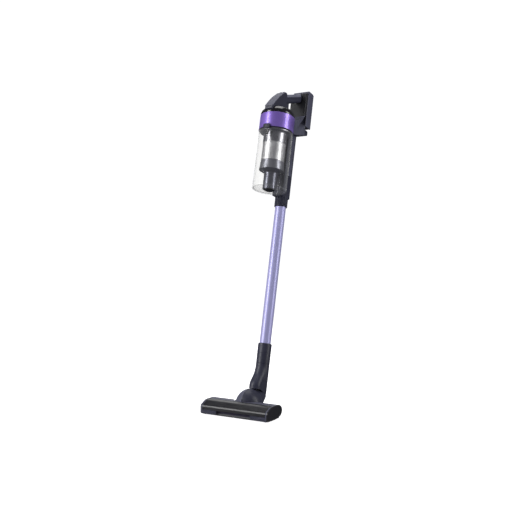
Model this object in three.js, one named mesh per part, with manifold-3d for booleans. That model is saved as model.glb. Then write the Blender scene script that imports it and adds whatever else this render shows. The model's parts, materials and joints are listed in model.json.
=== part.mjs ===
// Cordless stick vacuum, as an assembly of separate pieces. Millimetres, +Z up, front towards -Y.
// The floor head lies flat on the ground and the stick leans back from it. The origin is the middle of
// the hand grip. Inside the stick group, +Z runs up the stick and -Y points away from the user's hand.
import * as THREE from 'three';
import { ConvexGeometry } from 'three/addons/geometries/ConvexGeometry.js';
import { mergeVertices } from 'three/addons/utils/BufferGeometryUtils.js';
import Module from 'manifold-3d';

const wasm = await Module();
wasm.setup();

// ---------------------------------------------------------------- driving dimensions
const GAP = 0.3;                        // clearance between pieces that touch
const LEAN = THREE.MathUtils.degToRad(12.54);
const STICK_FOOT = 35;                  // height at which the stick's axis starts
const GRIP = { y: -20, z: 1044 };       // middle of the handle bar, in the stick's frame

const HEAD_WIDTH = 250;
const HEAD_FRONT = -152;
const HEAD_TOP = 45;
const CAP_WALL = 2.7;                   // end caps of the floor head
const WINDOW_EDGE = -108;               // where the front window meets the rear cover
const ROLLER = { y: -127.5, z: 19, core: 10.5, bristle: 16.5, pulley: 8 };
const MOTOR_SHAFT = { y: -88, z: 24, pinion: 4.5 };
const REAR_WHEEL = { x: 54, y: -82, r: 9, width: 8 };
const FRONT_ROLLER = { x: 109.8, y: -141, r: 5, width: 6 };

const HUB = { y: -58, z: 30, r: 50, half: 43, core: 41 };
const HEEL = { y: 2, z: 48, r: 23 };
const HUB_FOOT = 26.5;                  // how far below its centre the hub is cut off
const TILT_BACK = THREE.MathUtils.degToRad(32);
const TILT_FORWARD = THREE.MathUtils.degToRad(12);
const HUB_CLEARANCE = 0.8;

const NECK = { r: 22.5, wall: 3, rim: 20, flareRadius: 20, lip: 33, top: 118 };
const NECK_SIDES = 40;
// Heights on the neck, each with how far the small circle of the flare has moved forward there.
const NECK_STATIONS = [[14, 30], [45, 30], [54, 28], [62, 22.5], [70, 14], [78, 5], [86, 0]];
const COLLAR_TOP = 184;
const WAND = { r: 18.7, wall: 1.3, bottom: 184.5, top: 654.5, spigot: 42 };
const SOCKET = { r: 22.5, bottom: 655, top: 700, bore: 18.9 };
const DUCT = { x: 20, back: 25, bore: 15.5, port: [852, 884] };

const BIN = { y: -86.5, r: 58.5, wall: 1.9, bottom: 689, top: 893 };
const BAND = { r: 59.5, wall: 3, bottom: 895, top: 947, back: -54.3 };
const ARM_EDGE = { front: -54, rise: 0.3307, bottom: 896 };   // underside line of the arms and the dock
const PLATE = { x: 32, front: 37, back: 50, bottom: 934, top: 1090 };
const BATTERY = { x: 32, front: 50.6, back: 93.5, bottom: 968, top: 1100 };
const HOOD = { x: 14, front: -150, back: -62, wall: 3.5 };   // control hood at the front of the handle bar

// ---------------------------------------------------------------- finishes
const finish = (color, roughness, metalness = 0) => new THREE.MeshStandardMaterial({ color, roughness,
  metalness });
const charcoal = finish(0x3a3b44, 0.5);
const darkPlastic = finish(0x25262d, 0.45);
const greyPlastic = finish(0x55565f, 0.55);
const black = finish(0x17171b, 0.35);
const lavender = finish(0x9a98cf, 0.3, 0.8);
const purple = finish(0x6a4caa, 0.25, 0.2);
const silver = finish(0xb9babd, 0.3, 0.9);
const steel = finish(0x8d8f94, 0.35, 1);
const rubber = finish(0x202024, 0.9);
const smoked = finish(0x15151a, 0.1);
const green = finish(0x2c5a3c, 0.6);
const clear = new THREE.MeshStandardMaterial({ color: 0xeeeef2, roughness: 0.05, transparent: true,
  opacity: 0.3 });
const foam = finish(0x8c8f9c, 0.95);
const bristle = finish(0x3d2f63, 0.9);

// ---------------------------------------------------------------- making solids
/** A manifold solid of a closed three.js geometry, with its faces pointing outwards. */
function solid(geometry) {
  const bare = geometry.clone();
  bare.deleteAttribute('normal');
  bare.deleteAttribute('uv');
  const merged = mergeVertices(bare, 1e-4);
  const place = merged.attributes.position;
  const corner = [0, 1, 2].map(() => new THREE.Vector3());
  const kept = [];
  let volume = 0;
  for (let i = 0; i < merged.index.count; i += 3) {
    const [a, b, c] = [0, 1, 2].map((k) => merged.index.getX(i + k));
    if (a === b || b === c || a === c) continue;
    [a, b, c].forEach((index, k) => corner[k].fromBufferAttribute(place, index));
    volume += corner[0].dot(corner[1].clone().cross(corner[2]));
    kept.push(a, b, c);
  }
  if (volume < 0) {
    for (let i = 0; i < kept.length; i += 3) [kept[i + 1], kept[i + 2]] = [kept[i + 2], kept[i + 1]];
  }
  const mesh = { numProp: 3, vertProperties: new Float32Array(place.array), triVerts: new Uint32Array(kept) };
  return new wasm.Manifold(new wasm.Mesh(mesh));
}

/** An outline through [x, y] or [x, y, radius] corners, with the given corners rounded. */
function outline(corners) {
  const shape = new THREE.Shape();
  corners.forEach(([x, y, radius = 0], i) => {
    const here = new THREE.Vector2(x, y);
    const towards = (other) => {
      const arm = new THREE.Vector2(other[0] - x, other[1] - y);
      return here.clone().add(arm.setLength(Math.min(radius, arm.length() * 0.49)));
    };
    const before = towards(corners.at(i - 1));
    const after = towards(corners[(i + 1) % corners.length]);
    if (i === 0) shape.moveTo(before.x, before.y);
    else shape.lineTo(before.x, before.y);
    if (radius) shape.quadraticCurveTo(x, y, after.x, after.y);
  });
  shape.closePath();
  return shape;
}

const extrusion = (shape, depth, curveSegments = 4) =>
  new THREE.ExtrudeGeometry(shape, { depth, bevelEnabled: false, steps: 1, curveSegments });

/** An (x, y) outline raised from z0 to z1. */
function prism(corners, z0, z1) {
  return solid(extrusion(outline(corners), z1 - z0).translate(0, 0, z0));
}

/** A (y, z) outline run from x0 to x1. */
function slab(corners, x0, x1) {
  const toYZ = new THREE.Matrix4().set(0, 0, 1, x0, 1, 0, 0, 0, 0, 1, 0, 0, 0, 0, 0, 1);
  return solid(extrusion(outline(corners), x1 - x0).applyMatrix4(toYZ));
}

function box(x0, x1, y0, y1, z0, z1) {
  const block = new THREE.BoxGeometry(x1 - x0, y1 - y0, z1 - z0);
  return solid(block.translate((x0 + x1) / 2, (y0 + y1) / 2, (z0 + z1) / 2));
}

/** A body turned about the upright axis at (0, y), from [radius, height] pairs. */
function turned(profile, y = 0, segments = 36) {
  const lathe = new THREE.LatheGeometry(profile.map(([r, h]) => new THREE.Vector2(r, h)), segments);
  return solid(lathe.rotateX(Math.PI / 2).translate(0, y, 0));
}

/** A straight tube wall between two radii. */
function ring(inner, outer, z0, z1, y = 0, segments = 36) {
  return turned([[inner, z0], [outer, z0], [outer, z1], [inner, z1], [inner, z0]], y, segments);
}

/** A disc or rod with an upright axis. */
function rod(radius, z0, z1, y = 0, segments = 24) {
  return turned([[0, z0], [radius, z0], [radius, z1], [0, z1]], y, segments);
}

/** A rod along X, centred on (y, z). */
function crossRod(radius, x0, x1, y, z, segments = 20) {
  const cylinder = new THREE.CylinderGeometry(radius, radius, x1 - x0, segments);
  return solid(cylinder.rotateZ(Math.PI / 2).translate((x0 + x1) / 2, y, z));
}

const mirrored = (body) => body.mirror([1, 0, 0]);

// ---------------------------------------------------------------- the scene graph
const vacuum = new THREE.Group();
const floor = new THREE.Group();        // the frame of the ground: z = 0 is what the wheels stand on
const stick = new THREE.Group();        // the frame of the leaning stick
stick.rotation.x = -LEAN;
stick.position.z = STICK_FOOT;
floor.add(stick);
const grip = new THREE.Vector3(0, GRIP.y, GRIP.z).applyEuler(stick.rotation).add(stick.position);
floor.position.copy(grip).negate();
vacuum.add(floor);

function add(group, name, body, material) {
  const { vertProperties, triVerts } = body.getMesh();
  const geometry = new THREE.BufferGeometry();
  geometry.setAttribute('position', new THREE.BufferAttribute(vertProperties, 3));
  geometry.setIndex(new THREE.BufferAttribute(triVerts, 1));
  geometry.computeVertexNormals();
  const mesh = new THREE.Mesh(geometry, material);
  mesh.name = name;
  group.add(mesh);
  return mesh;
}

// ---------------------------------------------------------------- dust bin
function dustBin() {
  const { r, wall, bottom, top, y } = BIN;
  const cup = turned([[0, bottom], [r, bottom], [r, top], [r - wall, top], [r - wall, bottom + 2.4],
    [0, bottom + 2.4]], y, 40);
  const window = box(-12, 12, y + r - 9, y + r + 3, DUCT.port[0], DUCT.port[1]);
  add(stick, 'bin_cup', cup.subtract(window), clear);
  const hookFace = y - r + wall + GAP;
  const hook = box(-6, 6, hookFace, hookFace + 5, 869, 886).subtract(box(-3, 3, hookFace - 1, hookFace + 6,
    875, 880));
  add(stick, 'bin_hook', hook.subtract(ring(r - wall - GAP, r + 5, 860, 895, y)), darkPlastic);
  add(stick, 'bin_base_seal', turned([[0, bottom - 3], [13, bottom - 3], [17, bottom - GAP],
    [0, bottom - GAP]], y, 24), rubber);
  add(stick, 'bin_seal', ring(r - 4, r - 0.4, top + GAP, BAND.bottom - GAP, y), rubber);
}

// ---------------------------------------------------------------- cyclone, seen through the bin
function cyclone() {
  const { y } = BIN;
  const body = turned([[37, 851.3], [40, 851.3], [40, 886], [53.8, 889], [53.8, 892.7], [37, 892.7],
    [37, 851.3]], y);
  add(stick, 'cyclone_body', body, steel);
  add(stick, 'cyclone_mesh', ring(37.6, 39.4, 788.3, 851, y), silver);
  const skirt = turned([[37, 788], [39.6, 788], [40.4, 774], [42, 757], [39.6, 757], [37.6, 774],
    [37, 788]], y);
  add(stick, 'cyclone_skirt', skirt, charcoal);
  const cone = turned([[21, 692], [23, 692], [23.6, 770], [36.6, 786], [36.6, 789], [21.4, 772], [21, 692]],
    y);
  add(stick, 'cyclone_cone', cone, darkPlastic);
  const count = 6;
  let block = ring(4, 36.4, 872, 876, y, 24);
  for (let i = 0; i < count; i++) {
    const angle = (i * 2 * Math.PI) / count;
    const put = (body) => body.translate(24 * Math.cos(angle), y + 24 * Math.sin(angle), 0);
    const small = turned([[2.4, 806], [4, 806], [10.5, 872.5], [8.5, 872.5], [2.4, 806]], 0, 8);
    block = block.add(put(small)).subtract(put(rod(8, 870, 878, 0, 8)));
  }
  add(stick, 'inner_cyclones', block, greyPlastic);
}

// ---------------------------------------------------------------- motor, fan and their housing
function bandAndDome() {
  const { r, wall, bottom, top, back } = BAND;
  const { y } = BIN;
  let band = ring(r - wall, r, bottom, top, y, 40).intersect(box(-70, 70, y - 70, back, bottom - 1, top + 1));
  band = band.subtract(box(-6.5, 6.5, y - r - 1, y - r + wall + 1, bottom - 1, 903));
  const hole = new THREE.CylinderGeometry(1.5, 1.5, 12, 6).rotateZ(Math.PI / 2);
  for (let row = 0; row < 5; row++) {
    for (let column = 0; column < 3; column++) {
      const angle = THREE.MathUtils.degToRad(24 - 9 * column - 4.5 * (row % 2));
      const height = bottom + 10 + 8 * row;
      const drill = solid(hole.clone().translate(r - 1, 0, 0).rotateZ(angle).translate(0, y, height));
      band = band.subtract(drill).subtract(mirrored(drill));
    }
  }
  add(stick, 'vent_band', band, purple);
  const dome = turned([[0, 977], [34, 973.8], [50, 964.4], [56.2, 953], [56.2, top + GAP], [59, top + GAP],
    [59, 953], [57.2, 960], [53, 966.6], [46, 972.2], [36, 976.4], [20, 979], [0, 980]], y);
  add(stick, 'motor_housing', dome, black);
}

function motorAndFan() {
  const { y } = BIN;
  add(stick, 'pre_motor_filter', ring(8, 52, 896.5, 906, y, 28), foam);
  let fan = rod(30, 909, 911, y, 24).add(rod(3.4, 910, 950, y, 12));
  for (let i = 0; i < 9; i++) {
    const blade = new THREE.BoxGeometry(17, 1.4, 8).translate(20, 0, 914.5).rotateZ(0.35);
    fan = fan.add(solid(blade.rotateZ((i * Math.PI * 2) / 9).translate(0, y, 0)));
  }
  add(stick, 'impeller', fan, silver);
  add(stick, 'motor_can', ring(3.8, 31, 922, 945, y, 28), steel);
  const bracket = ring(31.4, 55.8, 930, 933, y, 32);
  add(stick, 'motor_bracket', bracket, charcoal);
}

// ---------------------------------------------------------------- air duct, socket and their trim
const armEdgeAt = (y) => ARM_EDGE.bottom + (y - ARM_EDGE.front) * ARM_EDGE.rise;

function ductColumn() {
  const { x, back, bore, port } = DUCT;
  const column = prism([[-x, -34], [x, -34], [x, back, 8], [-x, back, 8]], 688, 945);
  const socket = rod(SOCKET.r, SOCKET.bottom, 702, 0, 32);
  let duct = column.add(socket);
  const above = slab([[-60, armEdgeAt(-60) - GAP], [60, armEdgeAt(60) - GAP], [60, 1000], [-60, 1000]], -40,
    40);
  duct = duct.subtract(above).subtract(rod(BIN.r + 0.8, 650, 1000, BIN.y, 64));
  duct = duct.subtract(rod(SOCKET.bore, 640, SOCKET.top + 1, 0, 28)).subtract(rod(bore, 690, 884, 0, 24));
  duct = duct.subtract(box(-12, 12, -60, 0, port[0], port[1]));
  const slot = box(x - 1.7, x + 3, -12, back + 3, 763, 990);
  duct = duct.subtract(slot).subtract(mirrored(slot));
  duct = duct.subtract(box(-9.6, 9.6, 22, 40, 694, 742));
  add(stick, 'air_duct', duct, charcoal);
  const trim = slab([[-7, 765], [12, 765], [12, armEdgeAt(12) - 1], [-7, armEdgeAt(-7) - 1]], x - 1.7 + GAP,
    x + 0.2);
  add(stick, 'slot_trim_right', trim, greyPlastic);
  add(stick, 'slot_trim_left', mirrored(trim), greyPlastic);
  const button = slab([[24, 697, 2], [27, 695, 2], [29.8, 705, 4], [29.8, 730, 4], [27, 741, 2],
    [24, 740, 2]], -8.8, 8.8);
  add(stick, 'wand_release', button, darkPlastic);
}

// ---------------------------------------------------------------- arms, dock and battery housing
function rearFrame() {
  const plan = [[GAP / 2, -80], [58, -80], [50.4, ARM_EDGE.front], [34.6, 47], [34.6, 47.5], [GAP / 2, 47.5]];
  const side = [[ARM_EDGE.front, armEdgeAt(ARM_EDGE.front)], [47.5, armEdgeAt(47.5)], [47.5, 1010],
    [20, 984, 20], [-10, 966, 20], [ARM_EDGE.front, BAND.top]];
  const inset = [[-62, armEdgeAt(-62) + 3], [45, armEdgeAt(45) + 3], [45, 1004], [20, 980], [-10, 962],
    [-62, 942]];
  const hollowPlan = [[-5, -80], [55, -80], [47.2, ARM_EDGE.front], [31.9, 46], [-5, 46]];
  let arm = prism(plan, 880, 1020).intersect(slab(side, 0, 60));
  const hollow = prism(hollowPlan, 880, 1020).intersect(slab(inset, -10, 60));
  arm = arm.subtract(hollow.subtract(rod(BAND.r + 0.2, 880, 1020, BIN.y, 64)));
  arm = arm.subtract(rod(BAND.r - BAND.wall + GAP, 880, 947, BIN.y, 64));
  arm = arm.subtract(rod(59 + GAP, 946, 1020, BIN.y, 64));
  arm = arm.subtract(box(-1, PLATE.x + GAP, PLATE.front - GAP, 60, 880, 1100));
  add(stick, 'side_arm_right', arm, charcoal);
  add(stick, 'side_arm_left', mirrored(arm), charcoal);

  const { x, front, back, bottom, top } = PLATE;
  let plate = slab([[front, bottom + 5], [back, bottom + 5], [back, top, 4], [front + 2, top, 6]], -x, x);
  plate = plate.intersect(prism([[-x, front, 5], [x, front, 5], [x, back], [-x, back]], 900, 1100));
  plate = plate.subtract(box(-22, 22, front + 3.5, back + 1, 1000, 1060));
  add(stick, 'battery_housing', plate, darkPlastic);

  const dock = slab([[front + GAP, armEdgeAt(front)], [74, armEdgeAt(74), 3], [77, 942, 3], [77, 954, 3],
    [72, 956, 2], [back + 3, 956], [back + GAP, 960], [back + GAP, bottom + 4.6],
    [front + GAP, bottom + 4.6]], -30, 30);
  add(stick, 'battery_dock', dock, charcoal);
}

function battery() {
  const { x, front, back, bottom, top } = BATTERY;
  const plan = (inset) => [[-x + inset, front + inset, 4], [x - inset, front + inset, 4],
    [x - inset, back - inset, 6], [-x + inset, back - inset, 6]];
  let shell = prism(plan(0), bottom, top).subtract(prism(plan(2.2), bottom - 1, top - 2.5));
  shell = shell.intersect(slab([[front, bottom], [back - 3, bottom], [back, bottom + 8, 3], [back, top, 9],
    [front, top, 3]], -x - 1, x + 1));
  shell = shell.subtract(box(-9.4, 9.4, back - 4, back + 1, 984, 1008));
  add(stick, 'battery_case', shell, charcoal);
  const inset = 2.6;
  const base = [[-x + inset, front + inset, 3], [x - inset, front + inset, 3], [x - inset, back - 6, 6],
    [-x + inset, back - 6, 6]];
  add(stick, 'battery_base', prism(base, bottom, bottom + 2.5), darkPlastic);
  const radius = 9.2;
  const middle = (front + back) / 2;
  for (let i = 0; i < 3; i++) {
    const pair = rod(radius, 973, 1032, middle, 16).add(rod(3, 1031, 1037, middle, 8))
      .add(rod(radius, 1036, 1095, middle, 16));
    add(stick, `cell_pair_${i + 1}`, pair.translate((i - 1) * (2 * radius + 0.8), 0, 0), steel);
  }
  const button = slab([[back - 2, 985], [back + 0.6, 986, 1], [back + 0.6, 1006, 1], [back - 2, 1007]], -9,
    9);
  add(stick, 'battery_release', button, greyPlastic);
}

// ---------------------------------------------------------------- handle, pod and controls
const barHeightAt = (y) => 1036.5 + (y + 35) * 0.44;

function handleAndPod() {
  const rear = PLATE.front - GAP;
  const start = HOOD.back + GAP;
  const path = new THREE.CatmullRomCurve3([start - 9, -20, 10, rear + 9].map((y) => new THREE.Vector3(0, y,
    barHeightAt(y))));
  const section = outline([[-13, -15, 8], [13, -15, 8], [13, 15, 8], [-13, 15, 8]]);
  const bar = new THREE.ExtrudeGeometry(section, { extrudePath: path, steps: 6, curveSegments: 3,
    bevelEnabled: false });
  add(stick, 'handle_bar', solid(bar).intersect(box(-20, 20, start, rear, 980, 1095)), greyPlastic);

  const domeClear = turned([[0, 900], [59.4, 900], [59.4, 953.4], [57.6, 960.4], [53.2, 967], [46.2, 972.6],
    [36, 976.8], [20, 979.4], [0, 980.4]], BIN.y);
  const { x, front, back, wall } = HOOD;
  const inside = x - wall;
  let pod = slab([[front + 3, 956], [front, 958], [front, 968, 2], [-128.5, 995], [-107.5, 1018],
    [-87, 1036.5, 5], [-77, 1044, 6], [back, 1044, 5], [back, 1007.8], [-46, 1014.8, 2], [-44, 985, 4],
    [-44, 958]], -x, x);
  pod = pod.subtract(slab([[-170, 967], [front + 1.9, 967], [-126.7, 993.2], [-105.8, 1016.2],
    [-85.6, 1034.3], [-79, 1039], [-79, 1060], [-170, 1060]], -x - 1, x + 1));
  pod = pod.subtract(box(-inside, inside, -134, back - wall, 940, 988));
  pod = pod.subtract(slab([[-118, 986], [back - wall, 986], [back - wall, 1030], [-84, 1030]], -inside,
    inside));
  const wells = box(-inside, -0.8, -77.2, -66.2, 1029, 1060).add(box(0.8, inside, -77.2, -66.2, 1029, 1060));
  pod = pod.subtract(domeClear).subtract(wells);
  add(stick, 'control_pod', pod, black);
  const panelLine = [[front, 968.2], [-128.5, 995.2], [-107.5, 1018.2], [-87, 1036.7, 5], [-80.4, 1041.8],
    [-79.6, 1039.6], [-85.4, 1034.7], [-105.5, 1016.6], [-126.4, 993.6], [front + 2.2, 967.4]];
  add(stick, 'control_panel', slab(panelLine, -x, x).subtract(domeClear), greyPlastic);
  add(stick, 'power_button', box(-inside + 0.4, -1.2, -76.8, -66.6, 1036, 1045.6), greyPlastic);
  add(stick, 'mode_button', box(1.2, inside - 0.4, -76.8, -66.6, 1036, 1045.6), greyPlastic);
  add(stick, 'control_board', box(-inside + 1, inside - 1, -84, back - wall - 1, 1024, 1026), green);
}

function binLatch() {
  const face = BIN.y - BAND.r;
  let tab = box(-12.5, 12.5, face - 7, face + 3, 886, 903);
  tab = tab.intersect(ring(BAND.r + 1.9, BAND.r + 5, 880, 910, BIN.y, 64));
  tab = tab.add(box(-5, 5, face - 3, face + 6, 896.5, 901));
  add(stick, 'bin_latch', tab, darkPlastic);
}

// ---------------------------------------------------------------- wand
function wand() {
  const { r, wall, bottom, top, spigot } = WAND;
  add(stick, 'wand_tube', ring(r - wall, r, bottom, top, 0, 32), lavender);
  const inside = r - wall - GAP;
  const topFitting = turned([[15, top - 26], [inside, top - 26], [inside, top + GAP], [18.5, top + GAP],
    [18.5, top + spigot], [17.5, top + spigot + 1.5], [15, top + spigot + 1.5], [15, top - 26]], 0, 28);
  add(stick, 'wand_top_fitting', topFitting, darkPlastic);
  const lowFitting = turned([[15, bottom - spigot], [17.5, bottom - spigot], [18.5, bottom - spigot + 2],
    [18.5, bottom - GAP], [inside, bottom - GAP], [inside, bottom + 26], [15, bottom + 26],
    [15, bottom - spigot]], 0, 28);
  add(stick, 'wand_bottom_fitting', lowFitting, darkPlastic);
}

// ---------------------------------------------------------------- swivel hub and neck
const swing = new THREE.Vector3(0, HEEL.y - HUB.y, HEEL.z - HUB.z);
const swingLength = swing.length();
const swingTilt = Math.atan2(swing.z, swing.y);

/** A body turned about the swing axis: a dome at the hub's centre, tapering to a ball at the heel. */
function jointForm(dome, core, ball, segments, steps = 8) {
  const lean = Math.asin((core - ball) / swingLength);
  const line = (h) => (core - h * Math.sin(lean)) / Math.cos(lean);
  let meet = 0;
  while (Math.sqrt(dome * dome - meet * meet) > line(meet)) meet += 0.25;
  const profile = [];
  const domeEnd = Math.asin(meet / dome);
  for (let i = 0; i <= steps; i++) {
    const angle = -Math.PI / 2 + (i / steps) * (domeEnd + Math.PI / 2);
    profile.push([i ? dome * Math.cos(angle) : 0, dome * Math.sin(angle)]);
  }
  const turns = steps / 2;
  for (let i = 0; i <= turns; i++) {
    const angle = lean + (i / turns) * (Math.PI / 2 - lean);
    profile.push([i < turns ? ball * Math.cos(angle) : 0, swingLength + ball * Math.sin(angle)]);
  }
  const lathe = new THREE.LatheGeometry(profile.map(([r, h]) => new THREE.Vector2(r, h)), segments);
  return solid(lathe.rotateX(swingTilt).translate(0, HUB.y, HUB.z));
}

/** Everything below a plane that passes under the hub's centre, turned by the given tilt. */
function underHub(depth, tilt) {
  const block = new THREE.BoxGeometry(300, 400, 100).translate(0, 0, -50 - depth);
  return solid(block.rotateX(tilt).translate(0, HUB.y, HUB.z));
}

/** The lens of two balls that meet in a crease on the middle plane. */
function creasedDome(edge, half) {
  const ball = (edge * edge + half * half) / (2 * half);
  const profile = [];
  for (let i = 0; i <= 7; i++) {
    const angle = (i / 7) * Math.asin(edge / ball);
    profile.push([i ? ball * Math.sin(angle) : 0, ball * Math.cos(angle) - (ball - half)]);
  }
  profile.push([0, 0]);
  const lathe = new THREE.LatheGeometry(profile.map(([r, h]) => new THREE.Vector2(r, h)), 30);
  const right = solid(lathe.rotateZ(-Math.PI / 2).translate(0, HUB.y, HUB.z));
  return right;
}

function swivelHub() {
  const trim = (body, depth) => body.subtract(underHub(depth, TILT_BACK))
    .subtract(underHub(depth, -TILT_FORWARD));
  const rightSide = box(GAP / 2, 80, -200, 100, -60, 200);
  let half = creasedDome(HUB.r, HUB.half).add(jointForm(HUB.core, HUB.core - 0.5, HEEL.r, 24)
    .intersect(rightSide));
  half = trim(half, HUB_FOOT);
  half = half.add(crossRod(5, HUB.half - 3, 49.5, HUB.y, HUB.z, 16));
  const hollow = trim(jointForm(38.5, 36, HEEL.r - 4, 16, 6), HUB_FOOT - 2.5);
  const mouth = new THREE.CylinderGeometry(15, 15, 60, 16).translate(0, -30, 0);
  const port = solid(mouth.rotateX(0.08).translate(0, HUB.y, HUB.z));
  const throat = new THREE.CylinderGeometry(15, 15, 60, 16).rotateX(Math.PI / 2).translate(0, 0, 30);
  const outlet = solid(throat.rotateX(-LEAN).translate(0, HEEL.y, HEEL.z));
  half = half.subtract(hollow).subtract(port).subtract(outlet);
  half = half.intersect(rightSide);
  add(floor, 'hub_right', half, charcoal);
  add(floor, 'hub_left', mirrored(half), greyPlastic);
}

/** The neck's outer form, or its inside when an inset is given. */
function neckForm(inset, top) {
  const rings = [...NECK_STATIONS, [top, 0]];
  const places = [];
  for (const [height, forward] of rings) {
    for (let k = 0; k < NECK_SIDES; k++) {
      const angle = (2 * Math.PI * k) / NECK_SIDES;
      const ahead = forward * Math.sin(angle) < NECK.flareRadius - NECK.r;
      const radius = (ahead ? NECK.flareRadius : NECK.r) - inset;
      places.push(radius * Math.cos(angle), radius * Math.sin(angle) - (ahead ? forward : 0), height);
    }
  }
  const faces = [];
  const last = (rings.length - 1) * NECK_SIDES;
  for (let k = 0; k < NECK_SIDES; k++) {
    const next = (k + 1) % NECK_SIDES;
    for (let row = 0; row < last; row += NECK_SIDES) {
      faces.push(row + k, row + next, row + NECK_SIDES + next);
      faces.push(row + k, row + NECK_SIDES + next, row + NECK_SIDES + k);
    }
    if (k > 0 && next > 0) faces.push(0, next, k, last, last + k, last + next);
  }
  const geometry = new THREE.BufferGeometry();
  geometry.setAttribute('position', new THREE.Float32BufferAttribute(places, 3));
  geometry.setIndex(faces);
  return solid(geometry);
}

function neck() {
  let clearance = jointForm(HUB.r + HUB_CLEARANCE, HUB.core + HUB_CLEARANCE, HEEL.r + HUB_CLEARANCE, 48, 16);
  clearance = clearance.translate(0, 0, -STICK_FOOT).rotate([THREE.MathUtils.radToDeg(LEAN), 0, 0]);
  const below = box(-80, 80, -120, 80, -100, NECK.rim);
  const front = box(-80, 80, -200, -NECK_STATIONS[0][1], -100, NECK.lip);
  let shell = neckForm(0, NECK.top - GAP).subtract(neckForm(NECK.wall, NECK.top + 2));
  shell = shell.subtract(clearance).subtract(below).subtract(front);
  shell = shell.subtract(box(-10.5, 10.5, 17, 40, 53, 99));
  add(stick, 'neck_shell', shell, charcoal);
  const collar = turned([[19, NECK.top], [NECK.r, NECK.top], [NECK.r + 0.4, COLLAR_TOP - 3], [NECK.r - 0.5,
    COLLAR_TOP], [19, COLLAR_TOP], [19, NECK.top]], 0, 32);
  add(stick, 'neck_collar', collar, charcoal);
  const pedal = slab([[19.5, 56, 1], [23.5, 55, 2], [25.2, 66, 4], [25.6, 86, 4], [23.6, 97, 2],
    [19.5, 96, 1]], -9.6, 9.6);
  add(stick, 'neck_release', pedal, darkPlastic);
}

// ---------------------------------------------------------------- floor head
const headOutline = [[HEAD_FRONT, 4, 3], [HEAD_FRONT, 30, 5], [-125, HEAD_TOP, 10], [-77, HEAD_TOP, 10],
  [-64, 36, 8], [-60, 25, 6], [-67, 10, 8], [-100, 2.6, 8], [-146, 2.6, 3]];
const headInside = [[-149.4, -5], [-149.4, 29, 4], [-124.2, 42.4, 9], [-78, 42.4, 9], [-66.6, 34, 8],
  [-63, 25, 5], [-69.5, 12, 6], [-80, -5]];

function hubSpace(radius) {
  return solid(new THREE.SphereGeometry(radius, 36, 20).translate(0, HUB.y, HUB.z));
}

function floorHead() {
  const end = HEAD_WIDTH / 2;
  const inner = end - CAP_WALL - GAP;
  const lugSpace = box(43.4, 50.4, -93, -40, -1, 42).add(box(-50.4, -43.4, -93, -40, -1, 42));
  let cover = slab(headOutline, -inner, inner).subtract(slab(headInside, -inner - 1, inner + 1));
  cover = cover.subtract(box(-inner + 4, inner - 4, -160, WINDOW_EDGE, -1, 60));
  cover = cover.subtract(hubSpace(HUB.r + 1.2)).subtract(lugSpace);
  cover = cover.subtract(box(-47, 47, -100, -40, -1, 26));
  add(floor, 'head_cover', cover, greyPlastic);

  const windowLine = [[HEAD_FRONT, 17], [HEAD_FRONT, 30, 5], [-125, HEAD_TOP, 10], [WINDOW_EDGE - GAP,
  HEAD_TOP], [WINDOW_EDGE - GAP, 42.6], [-124.4, 42.6, 9], [-149.6, 29, 4], [-149.6, 17]];
  const side = inner - 4 - GAP;
  add(floor, 'head_window', slab(windowLine, -side, side).subtract(hubSpace(HUB.r + 1.2)), smoked);
  const strip = [[HEAD_FRONT, 4, 1], [HEAD_FRONT, 16.6], [-149.6, 16.6], [-149.6, 4]];
  add(floor, 'front_strip_left', slab(strip, -side, -64), greyPlastic);
  add(floor, 'front_strip_right', slab(strip, 62.5, side), greyPlastic);
  add(floor, 'end_cap_right', slab(headOutline, end - CAP_WALL, end), black);
  add(floor, 'end_cap_left', slab(headOutline, -end, -end + CAP_WALL), black);
  solePlate(inner);
}

function solePlate(inner) {
  const inside = headInside.map(([y, z, r]) => [y + (y < -100 ? GAP : -GAP), z - GAP, r]);
  const plate = slab(inside, -inner + GAP, inner - GAP).intersect(box(-130, 130, -160, -40, 2.6, 5.2));
  const wall = slab(inside, -108, 108).intersect(box(-130, 130, -110, -107.6, 2.6, 41.8));
  let sole = plate.add(wall);
  sole = sole.subtract(box(-107, 107, -146, -110, 0, 8));
  sole = sole.subtract(box(-46.2, 46.2, -106.5, -30, 0, 6)).subtract(hubSpace(HUB.r + 0.8));
  const lug = slab([[-92, 2.8], [-66, 2.8], [-47, 22, 4], [-47, 36, 6], [-58, 41.6, 6], [-70, 36, 6],
    [-92, 8]], 44.2, 49.8);
  const eye = crossRod(5.4, 40, 55, HUB.y, HUB.z, 20);
  const wells = box(108.8, 116.8, -147, -134, 0, 8).add(box(REAR_WHEEL.x - 1, 63, -92.5, -71.2, 0, 8));
  for (const flip of [(body) => body, mirrored]) {
    sole = sole.add(flip(lug)).subtract(flip(eye)).subtract(flip(wells));
  }
  sole = sole.subtract(box(-2, 2, -152, -147.5, 0, 4));
  add(floor, 'sole_plate', sole, darkPlastic);
}

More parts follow.
